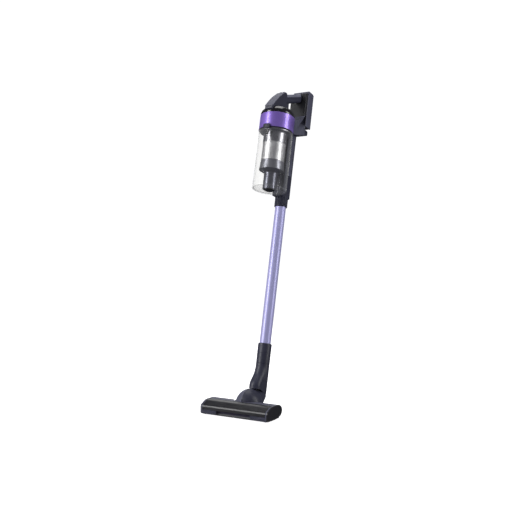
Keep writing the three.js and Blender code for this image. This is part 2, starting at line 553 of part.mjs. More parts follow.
function brushDrive() {
  const { y, z, core, bristle: tip, pulley } = ROLLER;
  const shaft = MOTOR_SHAFT;
  let roller = crossRod(core, -106, 106, y, z, 20).add(crossRod(4, 105, 112, y, z, 12));
  roller = roller.add(crossRod(pulley, 111.5, 116.5, y, z, 20));
  add(floor, 'brush_core', roller, darkPlastic);
  const strips = [];
  let sleeve = crossRod(core + 2.2, -103, 103, y, z, 20).subtract(crossRod(core + GAP, -104, 104, y, z, 20));
  for (let i = 0; i < 4; i++) {
    const fin = new THREE.BoxGeometry(204, 3, tip - core - 1.4, 10, 1, 1).translate(0, 0,
      (tip + core + 1.4) / 2);
    const place = fin.attributes.position;
    const point = new THREE.Vector3();
    for (let k = 0; k < place.count; k++) {
      point.fromBufferAttribute(place, k);
      point.applyAxisAngle(new THREE.Vector3(1, 0, 0), (i * Math.PI) / 2 + point.x * 0.011);
      place.setXYZ(k, point.x, point.y, point.z);
    }
    strips.push(solid(fin.translate(0, y, z)));
  }
  strips.forEach((fin) => { sleeve = sleeve.add(fin); });
  add(floor, 'brush_bristles', sleeve, bristle);
  add(floor, 'brush_motor', crossRod(12, 66, 109, shaft.y, shaft.z, 24).subtract(crossRod(2.4, 100, 110,
    shaft.y, shaft.z, 12)), steel);
  add(floor, 'motor_pinion', crossRod(2, 104, 112, shaft.y, shaft.z, 12)
    .add(crossRod(shaft.pinion, 111.5, 116.5, shaft.y, shaft.z, 16)), steel);
  const loop = (grow) => {
    const points = [];
    for (const [radius, cy, cz] of [[pulley, y, z], [shaft.pinion, shaft.y, shaft.z]]) {
      for (const x of [112.5 - (grow < 1 ? 1 : 0), 115.5 + (grow < 1 ? 1 : 0)]) {
        for (let k = 0; k < 24; k++) {
          const angle = (k * Math.PI) / 12;
          points.push(new THREE.Vector3(x, cy + (radius + grow) * Math.cos(angle),
            cz + (radius + grow) * Math.sin(angle)));
        }
      }
    }
    return solid(new ConvexGeometry(points));
  };
  add(floor, 'drive_belt', loop(1.5).subtract(loop(GAP)), rubber);
}

function wheel(name, radius, width, x, y, material) {
  const tyre = turned([[0, -width / 2], [radius - 1, -width / 2], [radius, -width / 2 + 1],
    [radius, width / 2 - 1], [radius - 1, width / 2], [0, width / 2]], 0, 20);
  const mesh = add(floor, name, tyre, material);
  mesh.rotation.y = Math.PI / 2;
  mesh.position.set(x, y, radius);
}

function wheels() {
  for (const [side, sign] of [['right', 1], ['left', -1]]) {
    wheel(`rear_wheel_${side}`, REAR_WHEEL.r, REAR_WHEEL.width, sign * (REAR_WHEEL.x + REAR_WHEEL.width / 2),
      REAR_WHEEL.y, rubber);
    wheel(`front_roller_${side}`, FRONT_ROLLER.r, FRONT_ROLLER.width,
      sign * (FRONT_ROLLER.x + FRONT_ROLLER.width / 2), FRONT_ROLLER.y, rubber);
  }
}

dustBin();
cyclone();
bandAndDome();
motorAndFan();
ductColumn();
rearFrame();
battery();
handleAndPod();
binLatch();
wand();
swivelHub();
neck();
floorHead();
brushDrive();
wheels();

export default vacuum;
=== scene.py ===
# %% [markdown]
# # A cordless stick vacuum, piece by piece
# The object is a stick vacuum with a clear dust bin, a purple band round the motor, a lavender
# wand and a low floor head. A CAD model already says where every part is and how it moves.
# This lesson dresses that frame: each cell builds one piece in millimetres, in the frame of the
# leaning stick or of the flat floor, and then hangs it on the body that it moves with.

# %% Load the frame and keep its size
import bpy
import bmesh
import json
import math
import random
from mathutils import Matrix, Vector


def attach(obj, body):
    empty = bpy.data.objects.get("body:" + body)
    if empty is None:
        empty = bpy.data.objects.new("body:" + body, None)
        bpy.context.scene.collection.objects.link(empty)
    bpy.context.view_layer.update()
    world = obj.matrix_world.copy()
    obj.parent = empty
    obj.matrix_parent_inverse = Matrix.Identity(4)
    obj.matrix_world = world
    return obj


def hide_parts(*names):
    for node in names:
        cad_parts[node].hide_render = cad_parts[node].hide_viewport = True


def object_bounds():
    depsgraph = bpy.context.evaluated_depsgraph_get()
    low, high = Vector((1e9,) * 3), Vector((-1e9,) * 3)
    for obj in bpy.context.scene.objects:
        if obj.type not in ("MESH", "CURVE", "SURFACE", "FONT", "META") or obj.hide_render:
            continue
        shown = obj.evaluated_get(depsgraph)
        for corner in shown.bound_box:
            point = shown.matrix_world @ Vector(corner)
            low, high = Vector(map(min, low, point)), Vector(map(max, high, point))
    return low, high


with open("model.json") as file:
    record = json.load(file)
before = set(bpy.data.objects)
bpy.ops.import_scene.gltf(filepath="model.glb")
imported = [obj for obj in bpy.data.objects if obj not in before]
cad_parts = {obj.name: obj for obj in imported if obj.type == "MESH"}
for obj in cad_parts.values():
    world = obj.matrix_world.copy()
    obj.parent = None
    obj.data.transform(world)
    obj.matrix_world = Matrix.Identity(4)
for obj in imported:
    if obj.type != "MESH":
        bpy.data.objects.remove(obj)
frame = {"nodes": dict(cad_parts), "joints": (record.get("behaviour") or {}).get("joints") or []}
cad_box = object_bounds()
print("CAD box:", [tuple(round(c, 4) for c in corner) for corner in cad_box])

# %% [markdown]
# ## Two frames to work in
# A real stick vacuum is drawn upright on the drawing board, and its floor head flat. Both are
# easier to model that way, so everything below is written in millimetres in one of two frames:
# FLOOR, whose zero height is the ground, and STICK, whose z runs up the leaning stick. The lean
# comes from the joint that slides the bin down the stick, so it always agrees with the CAD.

# %% The floor frame and the stick frame
MM = Matrix.Scale(0.001, 4)
HEAD_FRONT = -152.0
STICK_FOOT = 35.0
BIN_Y = -86.5                           # the bin's axis stands this far in front of the wand's
down_the_stick = Vector(next(j["axis"] for j in frame["joints"] if j["name"] == "bin_slide"))
lean = math.atan2(-down_the_stick.y, -down_the_stick.z)
floor_origin = Vector((0, cad_box[0].y - HEAD_FRONT / 1000, cad_box[0].z))
FLOOR = Matrix.Translation(floor_origin) @ MM
STICK = FLOOR @ Matrix.Translation((0, 0, STICK_FOOT)) @ Matrix.Rotation(-lean, 4, "X")
print("lean of the stick:", round(math.degrees(lean), 2), "degrees")

# %% [markdown]
# ## Outlines
# Moulded parts are drawn as outlines with rounded corners. A corner is written as two
# coordinates and, if it is rounded, how far back from the corner the rounding starts. A true arc
# is used rather than a freehand curve, because its even curvature gives an even highlight.

# %% Rounded outlines and smooth profiles
ARC_STEPS = 6


def rounded(corners, steps=ARC_STEPS):
    """The points of a closed outline whose third numbers round its corners with arcs."""
    points = []
    for i, (a, b, *reach) in enumerate(corners):
        here = Vector((a, b))
        if not reach:
            points.append(here)
            continue
        back = Vector(corners[i - 1][:2]) - here
        ahead = Vector(corners[(i + 1) % len(corners)][:2]) - here
        run = min(reach[0], 0.49 * back.length, 0.49 * ahead.length)
        half = back.angle(ahead) / 2
        radius = run * math.tan(half)
        centre = here + (back.normalized() + ahead.normalized()).normalized() * (radius / math.sin(half))
        start, end = here + back.normalized() * run - centre, here + ahead.normalized() * run - centre
        first = math.atan2(start.y, start.x)
        turn = (math.atan2(end.y, end.x) - first + math.pi) % (2 * math.pi) - math.pi
        for k in range(steps + 1):
            angle = first + turn * k / steps
            points.append(centre + radius * Vector((math.cos(angle), math.sin(angle))))
    return [tuple(p) for p in points]


def smooth_line(points, steps=5):
    """A smooth curve through points, for a profile or a path."""
    line = []
    for i in range(len(points) - 1):
        p0, p1 = Vector(points[max(i - 1, 0)]), Vector(points[i])
        p2, p3 = Vector(points[i + 1]), Vector(points[min(i + 2, len(points) - 1)])
        for k in range(steps):
            t = k / steps
            line.append(tuple(0.5 * (2 * p1 + (p2 - p0) * t + (2 * p0 - 5 * p1 + 4 * p2 - p3) * t * t
                                     + (3 * p1 - p0 - 3 * p2 + p3) * t ** 3)))
    return line + [tuple(points[-1])]


print("a rounded square has", len(rounded([(0, 0, 1), (4, 0, 1), (4, 4, 1), (0, 4, 1)])), "points")

# %% [markdown]
# ## Solids from outlines
# Four ways of making a body cover the whole vacuum. Round parts are turned on a lathe, side
# views are run across the machine, plans are raised, and the handle is swept along its own
# path. Each is a closed skin, so that one can be cut out of another without leaving holes.

# %% Turning, extruding, sweeping and wrapping
def body_of(vertices, faces, name="form"):
    """A scratch object of a closed mesh, with its faces turned outwards."""
    mesh = bpy.data.meshes.new(name)
    mesh.from_pydata([tuple(v) for v in vertices], [], faces)
    work = bmesh.new()
    work.from_mesh(mesh)
    bmesh.ops.remove_doubles(work, verts=work.verts, dist=1e-5)
    bmesh.ops.recalc_face_normals(work, faces=work.faces)
    if work.calc_volume(signed=True) < 0:
        bmesh.ops.reverse_faces(work, faces=work.faces)
    work.to_mesh(mesh)
    work.free()
    form = bpy.data.objects.new(name, mesh)
    bpy.context.scene.collection.objects.link(form)
    return form


def turned(profile, y=0.0, segments=96):
    """A body of revolution about the upright line at (0, y), from a closed run of (radius, height)."""
    vertices, rings = [], []
    for r, h in profile:
        first = len(vertices)
        turns = segments if r > 0 else 1
        vertices += [(r * math.cos(2 * math.pi * k / turns), y + r * math.sin(2 * math.pi * k / turns), h)
                     for k in range(turns)]
        rings.append([first + k % turns for k in range(segments + 1)])
    faces = []
    for low, high in zip(rings, rings[1:] + rings[:1]):
        for k in range(segments):
            corners = list(dict.fromkeys((low[k], high[k], high[k + 1], low[k + 1])))
            if len(corners) > 2:
                faces.append(tuple(corners))
    return body_of(vertices, faces)


def cross_turned(profile, y, z, segments=64):
    """A body of revolution about a line along x, from a closed run of (radius, x)."""
    form = turned(profile, 0.0, segments)
    form.data.transform(Matrix.Translation((0, y, z)) @ Matrix.Rotation(math.pi / 2, 4, "Y"))
    return form


def extruded(outline, start, end, along="x"):
    """An outline in (y, z) run along x, or in (x, y) raised along z, from start to end."""
    put = (lambda p, h: (h, p[0], p[1])) if along == "x" else (lambda p, h: (p[0], p[1], h))
    count = len(outline)
    vertices = [put(p, h) for h in (start, end) for p in outline]
    faces = [(i, (i + 1) % count, (i + 1) % count + count, i + count) for i in range(count)]
    return body_of(vertices, faces + [tuple(range(count)), tuple(range(count, 2 * count))])


def block(x0, x1, y0, y1, z0, z1):
    """A plain block, only ever used to cut with."""
    return extruded([(x0, y0), (x1, y0), (x1, y1), (x0, y1)], z0, z1, "z")


def swept(path, section):
    """A section of (x, height) carried along a path of (y, z), square to it."""
    vertices, faces, count = [], [], len(section)
    for i, here in enumerate(path):
        ahead = Vector(path[min(i + 1, len(path) - 1)]) - Vector(path[max(i - 1, 0)])
        up = Vector((-ahead.y, ahead.x)).normalized()
        vertices += [(x, here[0] + up.x * h, here[1] + up.y * h) for x, h in section]
    for i in range(len(path) - 1):
        for k in range(count):
            a, b = i * count + k, i * count + (k + 1) % count
            faces.append((a, b, b + count, a + count))
    last = (len(path) - 1) * count
    return body_of(vertices, faces + [tuple(range(count)), tuple(range(last, last + count))])


def wrapped(points):
    """The tight skin round a cloud of points."""
    work = bmesh.new()
    for p in points:
        work.verts.new(p)
    bmesh.ops.convex_hull(work, input=work.verts)
    loose = [v for v in work.verts if not v.link_faces]
    bmesh.ops.delete(work, geom=loose, context="VERTS")
    mesh = bpy.data.meshes.new("form")
    work.to_mesh(mesh)
    work.free()
    form = bpy.data.objects.new("form", mesh)
    bpy.context.scene.collection.objects.link(form)
    return form


print("ready to turn, extrude, sweep and wrap")

# %% [markdown]
# ## Cutting, softening and hanging
# Real housings are cut by ports, wells and clearances, so the forms are cut with booleans. A
# moulded edge is never razor sharp, so a narrow bevel goes on at the end: it is what catches the
# light along every edge. Weighted normals keep the big faces flat while the bevels look round.

# %% Cutting, softening, mirroring and hanging a piece
def settle(form):
    """Makes what the modifiers show into the mesh itself."""
    seen = form.evaluated_get(bpy.context.evaluated_depsgraph_get())
    mesh = bpy.data.meshes.new_from_object(seen)
    form.modifiers.clear()
    old, form.data = form.data, mesh
    bpy.data.meshes.remove(old)
    return form


def combine(form, tools, operation):
    for tool in tools:
        step = form.modifiers.new("cut", "BOOLEAN")
        step.operation, step.solver, step.object = operation, "MANIFOLD", tool
    settle(form)
    for tool in tools:
        bpy.data.objects.remove(tool)
    return form


def cut(form, *tools):
    return combine(form, tools, "DIFFERENCE")


def keep(form, *tools):
    return combine(form, tools, "INTERSECT")


def join(form, *tools):
    return combine(form, tools, "UNION")


def copy_of(form, mirror=False):
    twin = form.copy()
    twin.data = form.data.copy()
    bpy.context.scene.collection.objects.link(twin)
    if mirror:
        twin.data.transform(Matrix.Scale(-1, 4, (1, 0, 0)))
        twin.data.flip_normals()
    return twin


def evened(form):
    """Takes the shading of each corner from the largest face there, so flat faces look flat."""
    even = form.modifiers.new("even", "WEIGHTED_NORMAL")
    even.keep_sharp, even.weight = True, 100
    return settle(form)


def soften(form, width=0.5, segments=2, angle=32):
    """Merges flat faces, rounds the sharp edges by a small bevel and shades the rest smooth."""
    work = bmesh.new()
    work.from_mesh(form.data)
    bmesh.ops.dissolve_limit(work, angle_limit=math.radians(1.0), verts=work.verts, edges=work.edges)
    work.to_mesh(form.data)
    work.free()
    form.data.shade_smooth()
    edge = form.modifiers.new("edge", "BEVEL")
    edge.width, edge.segments, edge.limit_method = width, segments, "ANGLE"
    edge.angle_limit, edge.use_clamp_overlap, edge.miter_outer = math.radians(angle), True, "MITER_ARC"
    return evened(form)


def piece(name, form, body, finish, replaces=(), place=STICK):
    """Hangs a finished form on its body and gives it its finish."""
    form.name = form.data.name = name
    form.data.transform(place)
    form.data.materials.clear()
    form.data.materials.append(finish)
    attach(form, body)
    if replaces:
        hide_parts(*replaces)
    size = [round(1000 * d) for d in form.dimensions]
    print(f"{name}: {len(form.data.vertices)} points, {size} mm, rides on {body}")
    return form


print("the workshop is ready")

# %% [markdown]
# ## Finishes
# Every finish is made of nodes, so that it needs no pictures. All of them read the object's own
# coordinates in metres: the grain of a moulding is a fraction of a millimetre, its mottling some
# centimetres. A value that is the same all over is set on the shader itself.

# %% Helpers for finishes
def srgb(red, green, blue):
    """A screen colour as the linear colour that a shader wants."""
    return tuple((c / 255 / 12.92 if c <= 10 else ((c / 255 + 0.055) / 1.055) ** 2.4)
                 for c in (red, green, blue)) + (1.0,)


class Finish:
    """A material whose nodes are added one by one round a Principled shader."""

    def __init__(self, name, **sockets):
        self.material = bpy.data.materials.new(name)
        self.material.use_nodes = True
        self.tree = self.material.node_tree
        self.tree.nodes.clear()
        self.out = self.tree.nodes.new("ShaderNodeOutputMaterial")
        self.shader = self.node("BsdfPrincipled")
        self.tree.links.new(self.shader.outputs[0], self.out.inputs["Surface"])
        for socket, value in sockets.items():
            self.shader.inputs[socket.replace("_", " ")].default_value = value
        self.place = self.node("TexCoord").outputs["Object"]

    def node(self, kind, wires=None, **settings):
        made = self.tree.nodes.new("ShaderNode" + kind)
        for key, value in settings.items():
            setattr(made, key, value)
        for key, value in (wires or {}).items():
            if isinstance(value, bpy.types.NodeSocket):
                self.tree.links.new(value, made.inputs[key])
            else:
                made.inputs[key].default_value = value
        return made

    def maths(self, operation, *values):
        wires = {i: v for i, v in enumerate(values)}
        return self.node("Math", wires, operation=operation).outputs[0]

    def noise(self, scale, detail=3.0, place=None, stretch=None):
        place = place or self.place
        if stretch:
            place = self.node("Mapping", {"Vector": place, "Scale": stretch}).outputs[0]
        return self.node("TexNoise", {"Vector": place, "Scale": scale, "Detail": detail}).outputs["Fac"]

    def colour(self, amount, *stops):
        """A colour ramp from (position, colour) stops, wired to the base colour."""
        ramp = self.node("ValToRGB", {"Fac": amount})
        elements = ramp.color_ramp.elements
        while len(elements) < len(stops):
            elements.new(0.5)
        for element, (position, tint) in zip(elements, stops):
            element.position, element.color = position, tint
        self.tree.links.new(ramp.outputs["Color"], self.shader.inputs["Base Color"])
        return ramp.outputs["Color"]

    def spread(self, amount, low, high, socket="Roughness", start=0.3, end=0.7):
        """Maps a pattern onto a range of one socket."""
        ranged = self.node("MapRange", {"Value": amount, "From Min": start, "From Max": end,
                                        "To Min": low, "To Max": high})
        self.tree.links.new(ranged.outputs[0], self.shader.inputs[socket])

    def relief(self, height, depth, strength=0.5):
        """Bumps the surface by a depth in metres."""
        bump = self.node("Bump", {"Height": height, "Strength": strength, "Distance": depth})
        self.tree.links.new(bump.outputs[0], self.shader.inputs["Normal"])
        return bump

    def up_stick(self):
        """Coordinates turned so that z runs up the stick."""
        return self.node("Mapping", {"Vector": self.place, "Rotation": (lean, 0, 0)},
                         vector_type="POINT").outputs[0]


def shade(tint, factor):
    return tuple(min(1.0, c * factor) for c in tint[:3]) + (1.0,)


print("mid grey is", [round(c, 3) for c in srgb(128, 128, 128)[:3]])

# %% [markdown]
# ### Plastics
# Most of the machine is ABS, moulded in a spark-eroded tool: a fine sandy grain, a roughness
# that wanders a little, and almost no colour change. Three tones of it are used. The motor cover
# and end caps come from a polished tool instead, so they get a clear coat and very little grain.

# %% Moulded and polished plastics
def moulded(name, tint, rough, grain=1400.0, depth=0.00006, strength=0.35):
    finish = Finish(name, Specular_IOR_Level=0.45)
    broad = finish.noise(18, 5)
    finish.colour(broad, (0.3, shade(tint, 0.88)), (0.72, shade(tint, 1.14)))
    finish.spread(finish.noise(55, 4), rough - 0.05, rough + 0.07)
    sand = finish.node("TexVoronoi", {"Vector": finish.place, "Scale": grain}, feature="SMOOTH_F1").outputs["Distance"]
    finish.relief(finish.maths("ADD", sand, finish.noise(grain * 0.6, 2)), depth, strength)
    return finish.material


def polished(name, tint, rough, coat=0.6):
    finish = Finish(name, Coat_Weight=coat, Coat_Roughness=0.08, Specular_IOR_Level=0.5)
    finish.colour(finish.noise(14, 4), (0.3, shade(tint, 0.9)), (0.7, shade(tint, 1.12)))
    smear = finish.noise(30, 6, stretch=(1, 1, 0.25))
    finish.spread(smear, rough - 0.04, rough + 0.08)
    finish.relief(finish.noise(260, 3), 0.00004, 0.12)
    return finish.material


charcoal = moulded("charcoal grained ABS", srgb(52, 53, 69), 0.42)
charcoal_light = moulded("light charcoal ABS", srgb(82, 83, 101), 0.46)
# The hub's left half gets this lighter grey and its right half plain charcoal: painted light on the left half and
# painted shade on the right, as if one lamp lit the left.
lit_half_grey = moulded("hub ABS painted light for its lit half", srgb(90, 91, 108), 0.55, 1200.0)
# A light grey for the grip pad on top of the handle: partly the pad's own colour, partly painted light for the lit top
# of the bar.
grip_pad_lit_grey = moulded("grip pad, painted lighter where light falls", srgb(120, 122, 138), 0.55, 900.0, 0.0001, 0.5)
dark_plastic = moulded("dark grained ABS", srgb(33, 33, 44), 0.4)
# Near black for the battery plate: painted shade, standing in for the shadow that the handle bar and the arms cast on
# the plate's front.
shade_black = moulded("black ABS painted for shade", srgb(20, 20, 27), 0.5)
black_gloss = polished("polished black ABS", srgb(16, 16, 20), 0.2)
cap_gloss = polished("end cap black", srgb(18, 18, 23), 0.32, 0.35)
print("plastics ready")

# %% [markdown]
# ### Metals
# The wand is an anodised aluminium tube. Anodising keeps the satin lines that drawing the tube
# through a die leaves along it, so its roughness is streaked along the stick and smooth around
# it. The band is lacquered, with a deep clear coat over a metallic purple. The cyclone is
# stainless steel, and its middle is a perforated sheet whose holes are half a millimetre wide.

# %% Anodised, lacquered, brushed and perforated metal
def anodised(name, tint):
    finish = Finish(name, Metallic=0.25)
    along = finish.up_stick()
    drawn = finish.noise(900, 2, along, (1, 1, 0.02))
    finish.colour(finish.noise(9, 4, along, (1, 1, 0.5)), (0.3, shade(tint, 0.94)), (0.7, shade(tint, 1.05)))
    finish.spread(drawn, 0.34, 0.46)
    finish.relief(drawn, 0.00002, 0.25)
    return finish.material


def lacquered(name, tint):
    finish = Finish(name, Metallic=0.5, Coat_Weight=0.7, Coat_Roughness=0.16)
    flake = finish.node("TexVoronoi", {"Vector": finish.place, "Scale": 2600.0}).outputs["Color"]
    fleck = finish.node("SeparateColor", {"Color": flake}).outputs[0]
    finish.colour(finish.maths("ADD", finish.maths("MULTIPLY", fleck, 0.35), finish.noise(20, 3)),
                  (0.35, shade(tint, 0.86)), (0.95, shade(tint, 1.2)))
    finish.spread(fleck, 0.32, 0.44, start=0.0, end=1.0)
    finish.relief(finish.noise(120, 2), 0.00003, 0.1)
    return finish.material


def brushed(name, tint, rough, stretch=(1, 1, 0.03), metallic=1.0):
    finish = Finish(name, Metallic=metallic)
    line = finish.noise(1200, 3, finish.up_stick(), stretch)
    finish.colour(finish.noise(30, 4), (0.3, shade(tint, 0.85)), (0.7, shade(tint, 1.1)))
    finish.spread(line, rough - 0.06, rough + 0.1)
    finish.relief(line, 0.00003, 0.3)
    return finish.material


def perforated(name, tint, pitch=0.0016):
    """A sheet of staggered round holes, laid out round the bin's axis."""
    finish = Finish(name, Metallic=0.85)
    centre = STICK @ Vector((0, BIN_Y, 0))
    turnedup = finish.node("Mapping", {"Vector": finish.place, "Location": -centre}, vector_type="POINT")
    upright = finish.node("Mapping", {"Vector": turnedup.outputs[0], "Rotation": (lean, 0, 0)}, vector_type="POINT")
    x, y, z = finish.node("SeparateXYZ", {"Vector": upright.outputs[0]}).outputs
    around = finish.maths("MULTIPLY", finish.maths("ARCTAN2", y, x), 0.0394 / pitch)
    row = finish.maths("DIVIDE", z, pitch * 0.866)
    shift = finish.maths("MULTIPLY", finish.maths("MODULO", finish.maths("FLOOR", row), 2.0), 0.5)
    across = finish.maths("SUBTRACT", finish.maths("FRACT", finish.maths("ADD", around, shift)), 0.5)
    down = finish.maths("SUBTRACT", finish.maths("FRACT", row), 0.5)
    reach = finish.maths("SQRT", finish.maths("ADD", finish.maths("MULTIPLY", across, across),
                                              finish.maths("MULTIPLY", down, down)))
    metal = finish.maths("SMOOTH_MIN", finish.maths("MULTIPLY", finish.maths("SUBTRACT", reach, 0.2), 8.0), 1.0, 0.2)
    # The holes are painted darker than the sheet: painted shade, standing in for the dark inside that a real hole would
    # show.
    finish.colour(metal, (0.0, shade(tint, 0.3)), (0.5, shade(tint, 0.8)), (1.0, tint))
    finish.spread(finish.noise(400, 3), 0.3, 0.42)
    finish.relief(metal, 0.0002, 0.5)
    return finish.material


lavender = anodised("lavender anodised aluminium", (0.52, 0.51, 0.86, 1.0))
purple = lacquered("purple lacquer", (0.29, 0.18, 0.67, 1.0))
cyclone_steel = brushed("cyclone steel", srgb(178, 178, 184), 0.3)
plain_steel = brushed("drawn steel", srgb(150, 152, 158), 0.34, (0.05, 1, 1))
mesh_metal = perforated("perforated steel", srgb(238, 238, 240))
print("metals ready")

# %% [markdown]
# ### Clear, smoked, rubber, foam and bristle
# The bin is clear polycarbonate. Real refraction through four thin walls mostly costs time, so
# the wall is see-through face on and turns into a glossy sheen towards its edges, which is what
# the eye reads as clear plastic. The window of the floor head is the same idea, smoked.

# %% See-through and soft finishes
def see_through(name, tint, floor_share, edge_share, rough):
    """Clear plastic: transparent face on, a pale gloss towards the edges."""
    finish = Finish(name, Specular_IOR_Level=0.6)
    finish.colour(finish.noise(40, 3), (0.3, shade(tint, 0.95)), (0.7, tint))
    finish.spread(finish.noise(25, 5), rough, rough + 0.05)
    facing = finish.node("LayerWeight", {"Blend": 0.5}).outputs["Facing"]
    sheen = finish.maths("POWER", facing, 4.0)
    share = finish.maths("ADD", finish.maths("MULTIPLY", sheen, edge_share), floor_share)
    clear = finish.node("BsdfTransparent", {"Color": (0.985, 0.985, 0.98, 1)})
    mixed = finish.node("MixShader", {0: share, 1: clear.outputs[0], 2: finish.shader.outputs[0]})
    finish.tree.links.new(mixed.outputs[0], finish.out.inputs["Surface"])
    return finish.material


def smoked_plastic(name):
    finish = Finish(name, Coat_Weight=0.2, Coat_Roughness=0.12, Alpha=0.94)
    finish.colour(finish.noise(25, 4), (0.3, srgb(15, 15, 20)), (0.7, srgb(22, 22, 28)))
    finish.spread(finish.noise(60, 5), 0.34, 0.46)
    finish.relief(finish.noise(150, 2), 0.00003, 0.08)
    return finish.material


def soft_rubber(name, tint):
    finish = Finish(name, Specular_IOR_Level=0.35)
    finish.colour(finish.noise(70, 5), (0.3, shade(tint, 0.8)), (0.7, shade(tint, 1.3)))
    finish.spread(finish.noise(90, 3), 0.68, 0.85)
    finish.relief(finish.noise(1100, 4), 0.0001, 0.5)
    return finish.material


def filter_foam(name, tint):
    finish = Finish(name, Specular_IOR_Level=0.2, Sheen_Weight=0.3)
    cells = finish.node("TexVoronoi", {"Vector": finish.place, "Scale": 1100.0}).outputs["Distance"]
    finish.colour(cells, (0.1, shade(tint, 0.35)), (0.6, tint))
    finish.spread(cells, 0.85, 1.0)
    finish.relief(cells, 0.0005, 0.8)
    return finish.material


def brush_fibre(name, tint):
    finish = Finish(name, Sheen_Weight=0.25, Specular_IOR_Level=0.4)
    strands = finish.noise(2200, 3, stretch=(1, 0.12, 0.12))
    finish.colour(strands, (0.3, shade(tint, 0.45)), (0.7, shade(tint, 1.5)))
    finish.spread(strands, 0.55, 0.8)
    finish.relief(strands, 0.0003, 0.8)
    return finish.material


def circuit_board(name):
    finish = Finish(name, Coat_Weight=0.4, Coat_Roughness=0.2)
    tracks = finish.node("TexBrick", {"Vector": finish.place, "Scale": 160.0, "Mortar Size": 0.03}).outputs["Fac"]
    finish.colour(tracks, (0.2, srgb(30, 84, 52)), (0.8, srgb(120, 150, 70)))
    finish.spread(finish.noise(200, 3), 0.3, 0.45)
    finish.relief(tracks, 0.0001, 0.4)
    return finish.material


clear_bin = see_through("clear polycarbonate", (0.80, 0.81, 0.82, 1.0), 0.02, 0.5, 0.03)
clear_rim = see_through("clear rim", (0.60, 0.60, 0.63, 1.0), 0.12, 0.4, 0.08)
smoked = smoked_plastic("smoked window")
rubber = soft_rubber("black rubber", srgb(34, 34, 38))
foam = filter_foam("filter foam", srgb(140, 143, 156))
bristle = brush_fibre("brush fibre", srgb(52, 46, 74))
circuit = circuit_board("circuit board")
print(len(bpy.data.materials), "materials in all")

# %% [markdown]
# ## The dust bin
# The bin is a thin clear cup that hangs under the motor, beside the duct. It is turned from one
# profile, wall and floor together, so the wall has a real thickness and shows two edges where it
# is seen on end. A window at the back lets the air in from the duct.

# %% The clear cup
BIN = dict(r=58.5, wall=1.9, foot=689.0, top=893.0)


def ring(inner, outer, low, high, y=BIN_Y, segments=128):
    return turned([(inner, low), (outer, low), (outer, high), (inner, high)], y, segments)


def rod(radius, low, high, y=0.0, segments=96):
    return turned([(0, low), (radius, low), (radius, high), (0, high)], y, segments)


inside = BIN["r"] - BIN["wall"]
cup = turned(rounded([(0, BIN["foot"]), (BIN["r"] + 0.4, BIN["foot"], 2.5), (BIN["r"] + 0.4, 695, 0.8),
                      (BIN["r"], 696.5, 0.8), (BIN["r"], BIN["top"]), (inside, BIN["top"]),
                      (inside, BIN["foot"] + 2.4, 3), (0, BIN["foot"] + 2.4)]), BIN_Y, 128)
cut(cup, block(-12, 12, BIN_Y + 50, BIN_Y + 62, 852, 884))
cup.data.shade_smooth()
cup.data.set_sharp_from_angle(angle=math.radians(35))
piece("bin_cup_shell", cup, "dust_bin", clear_bin, ["bin_cup"])

# %% [markdown]
# The lid at the bottom of the bin is welded to a stiff rim, and drops its rubber plug against
# the cone. A bracket inside the front wall is what the latch takes hold of.

# %% The bin's rim, plug, seal and bracket
rim = turned(rounded([(51, 691.7), (56.2, 691.7), (56.2, 694.6, 0.8), (54.6, 694.6, 0.8), (54, 692.9), (51, 692.9)], 3),
             BIN_Y, 128)
piece("bin_lid_rim", soften(rim, 0.15), "dust_bin", clear_rim)
plug = turned(rounded([(0, 686), (13, 686, 1), (15, 687.4, 1), (17, 688.7), (0, 688.7)], 3), BIN_Y, 64)
piece("bin_lid_plug", soften(plug, 0.2), "dust_bin", rubber, ["bin_base_seal"])
lip = turned(rounded([(54.5, 893.3), (58.1, 893.3, 0.4), (58.1, 894.7, 0.4), (56, 894.2, 0.4), (54.5, 894.7)], 3), BIN_Y, 128)
piece("bin_top_lip", soften(lip, 0.1), "dust_bin", rubber, ["bin_seal"])
front = BIN_Y - inside + 0.3
hook = extruded(rounded([(front, 869, 2), (front + 5, 869, 2), (front + 5, 886, 2), (front, 886)]), -6, 6)
cut(hook, block(-3, 3, front - 1, front + 7, 875, 880), ring(inside - 0.3, 70, 860, 895))
piece("bin_hook_bracket", soften(hook, 0.4), "dust_bin", dark_plastic, ["bin_hook"])

# %% [markdown]
# ## The cyclone
# Inside the bin hangs the cyclone: a steel drum, a perforated sleeve, a smoked steel skirt that
# throws the dust down and a dark cone. The parts are turned on one axis and stay with the motor
# when the bin is pulled off, so they ride on the main unit.

# %% Drum, mesh sleeve, skirt and cone
skirt_steel = brushed("smoked skirt steel", srgb(150, 151, 160), 0.34, metallic=0.8)
cone_steel = brushed("smoked cone steel", srgb(112, 113, 124), 0.32, metallic=0.75)
drum = turned(rounded([(37, 851.3), (40, 851.3, 0.6), (40, 886, 2), (44, 887.4, 1), (53.8, 889, 0.6), (53.8, 892.7),
                       (37, 892.7)], 4), BIN_Y, 128)
piece("cyclone_drum", soften(drum, 0.2), "main_unit", cyclone_steel, ["cyclone_body"])
sleeve = turned(rounded([(37.6, 788.3), (39.8, 788.3, 0.3), (39.8, 791), (39.3, 791.4), (39.3, 847.8), (39.8, 848.2),
                         (39.8, 851, 0.3), (37.6, 851)], 3), BIN_Y, 128)
piece("cyclone_mesh_sleeve", soften(sleeve, 0.12), "main_unit", mesh_metal, ["cyclone_mesh"])
skirt = turned(rounded([(37, 788), (39.6, 788, 0.5), (40.6, 774, 4), (42, 757, 0.6), (40.4, 757, 0.4), (38.6, 774, 4)], 4),
               BIN_Y, 128)
piece("cyclone_skirt_shell", soften(skirt, 0.15), "main_unit", skirt_steel, ["cyclone_skirt"])
outer = smooth_line([(22.2, 692), (23.1, 694), (23.2, 720), (23.4, 742), (26, 748), (34, 752.4), (41.6, 756.6)], 5)
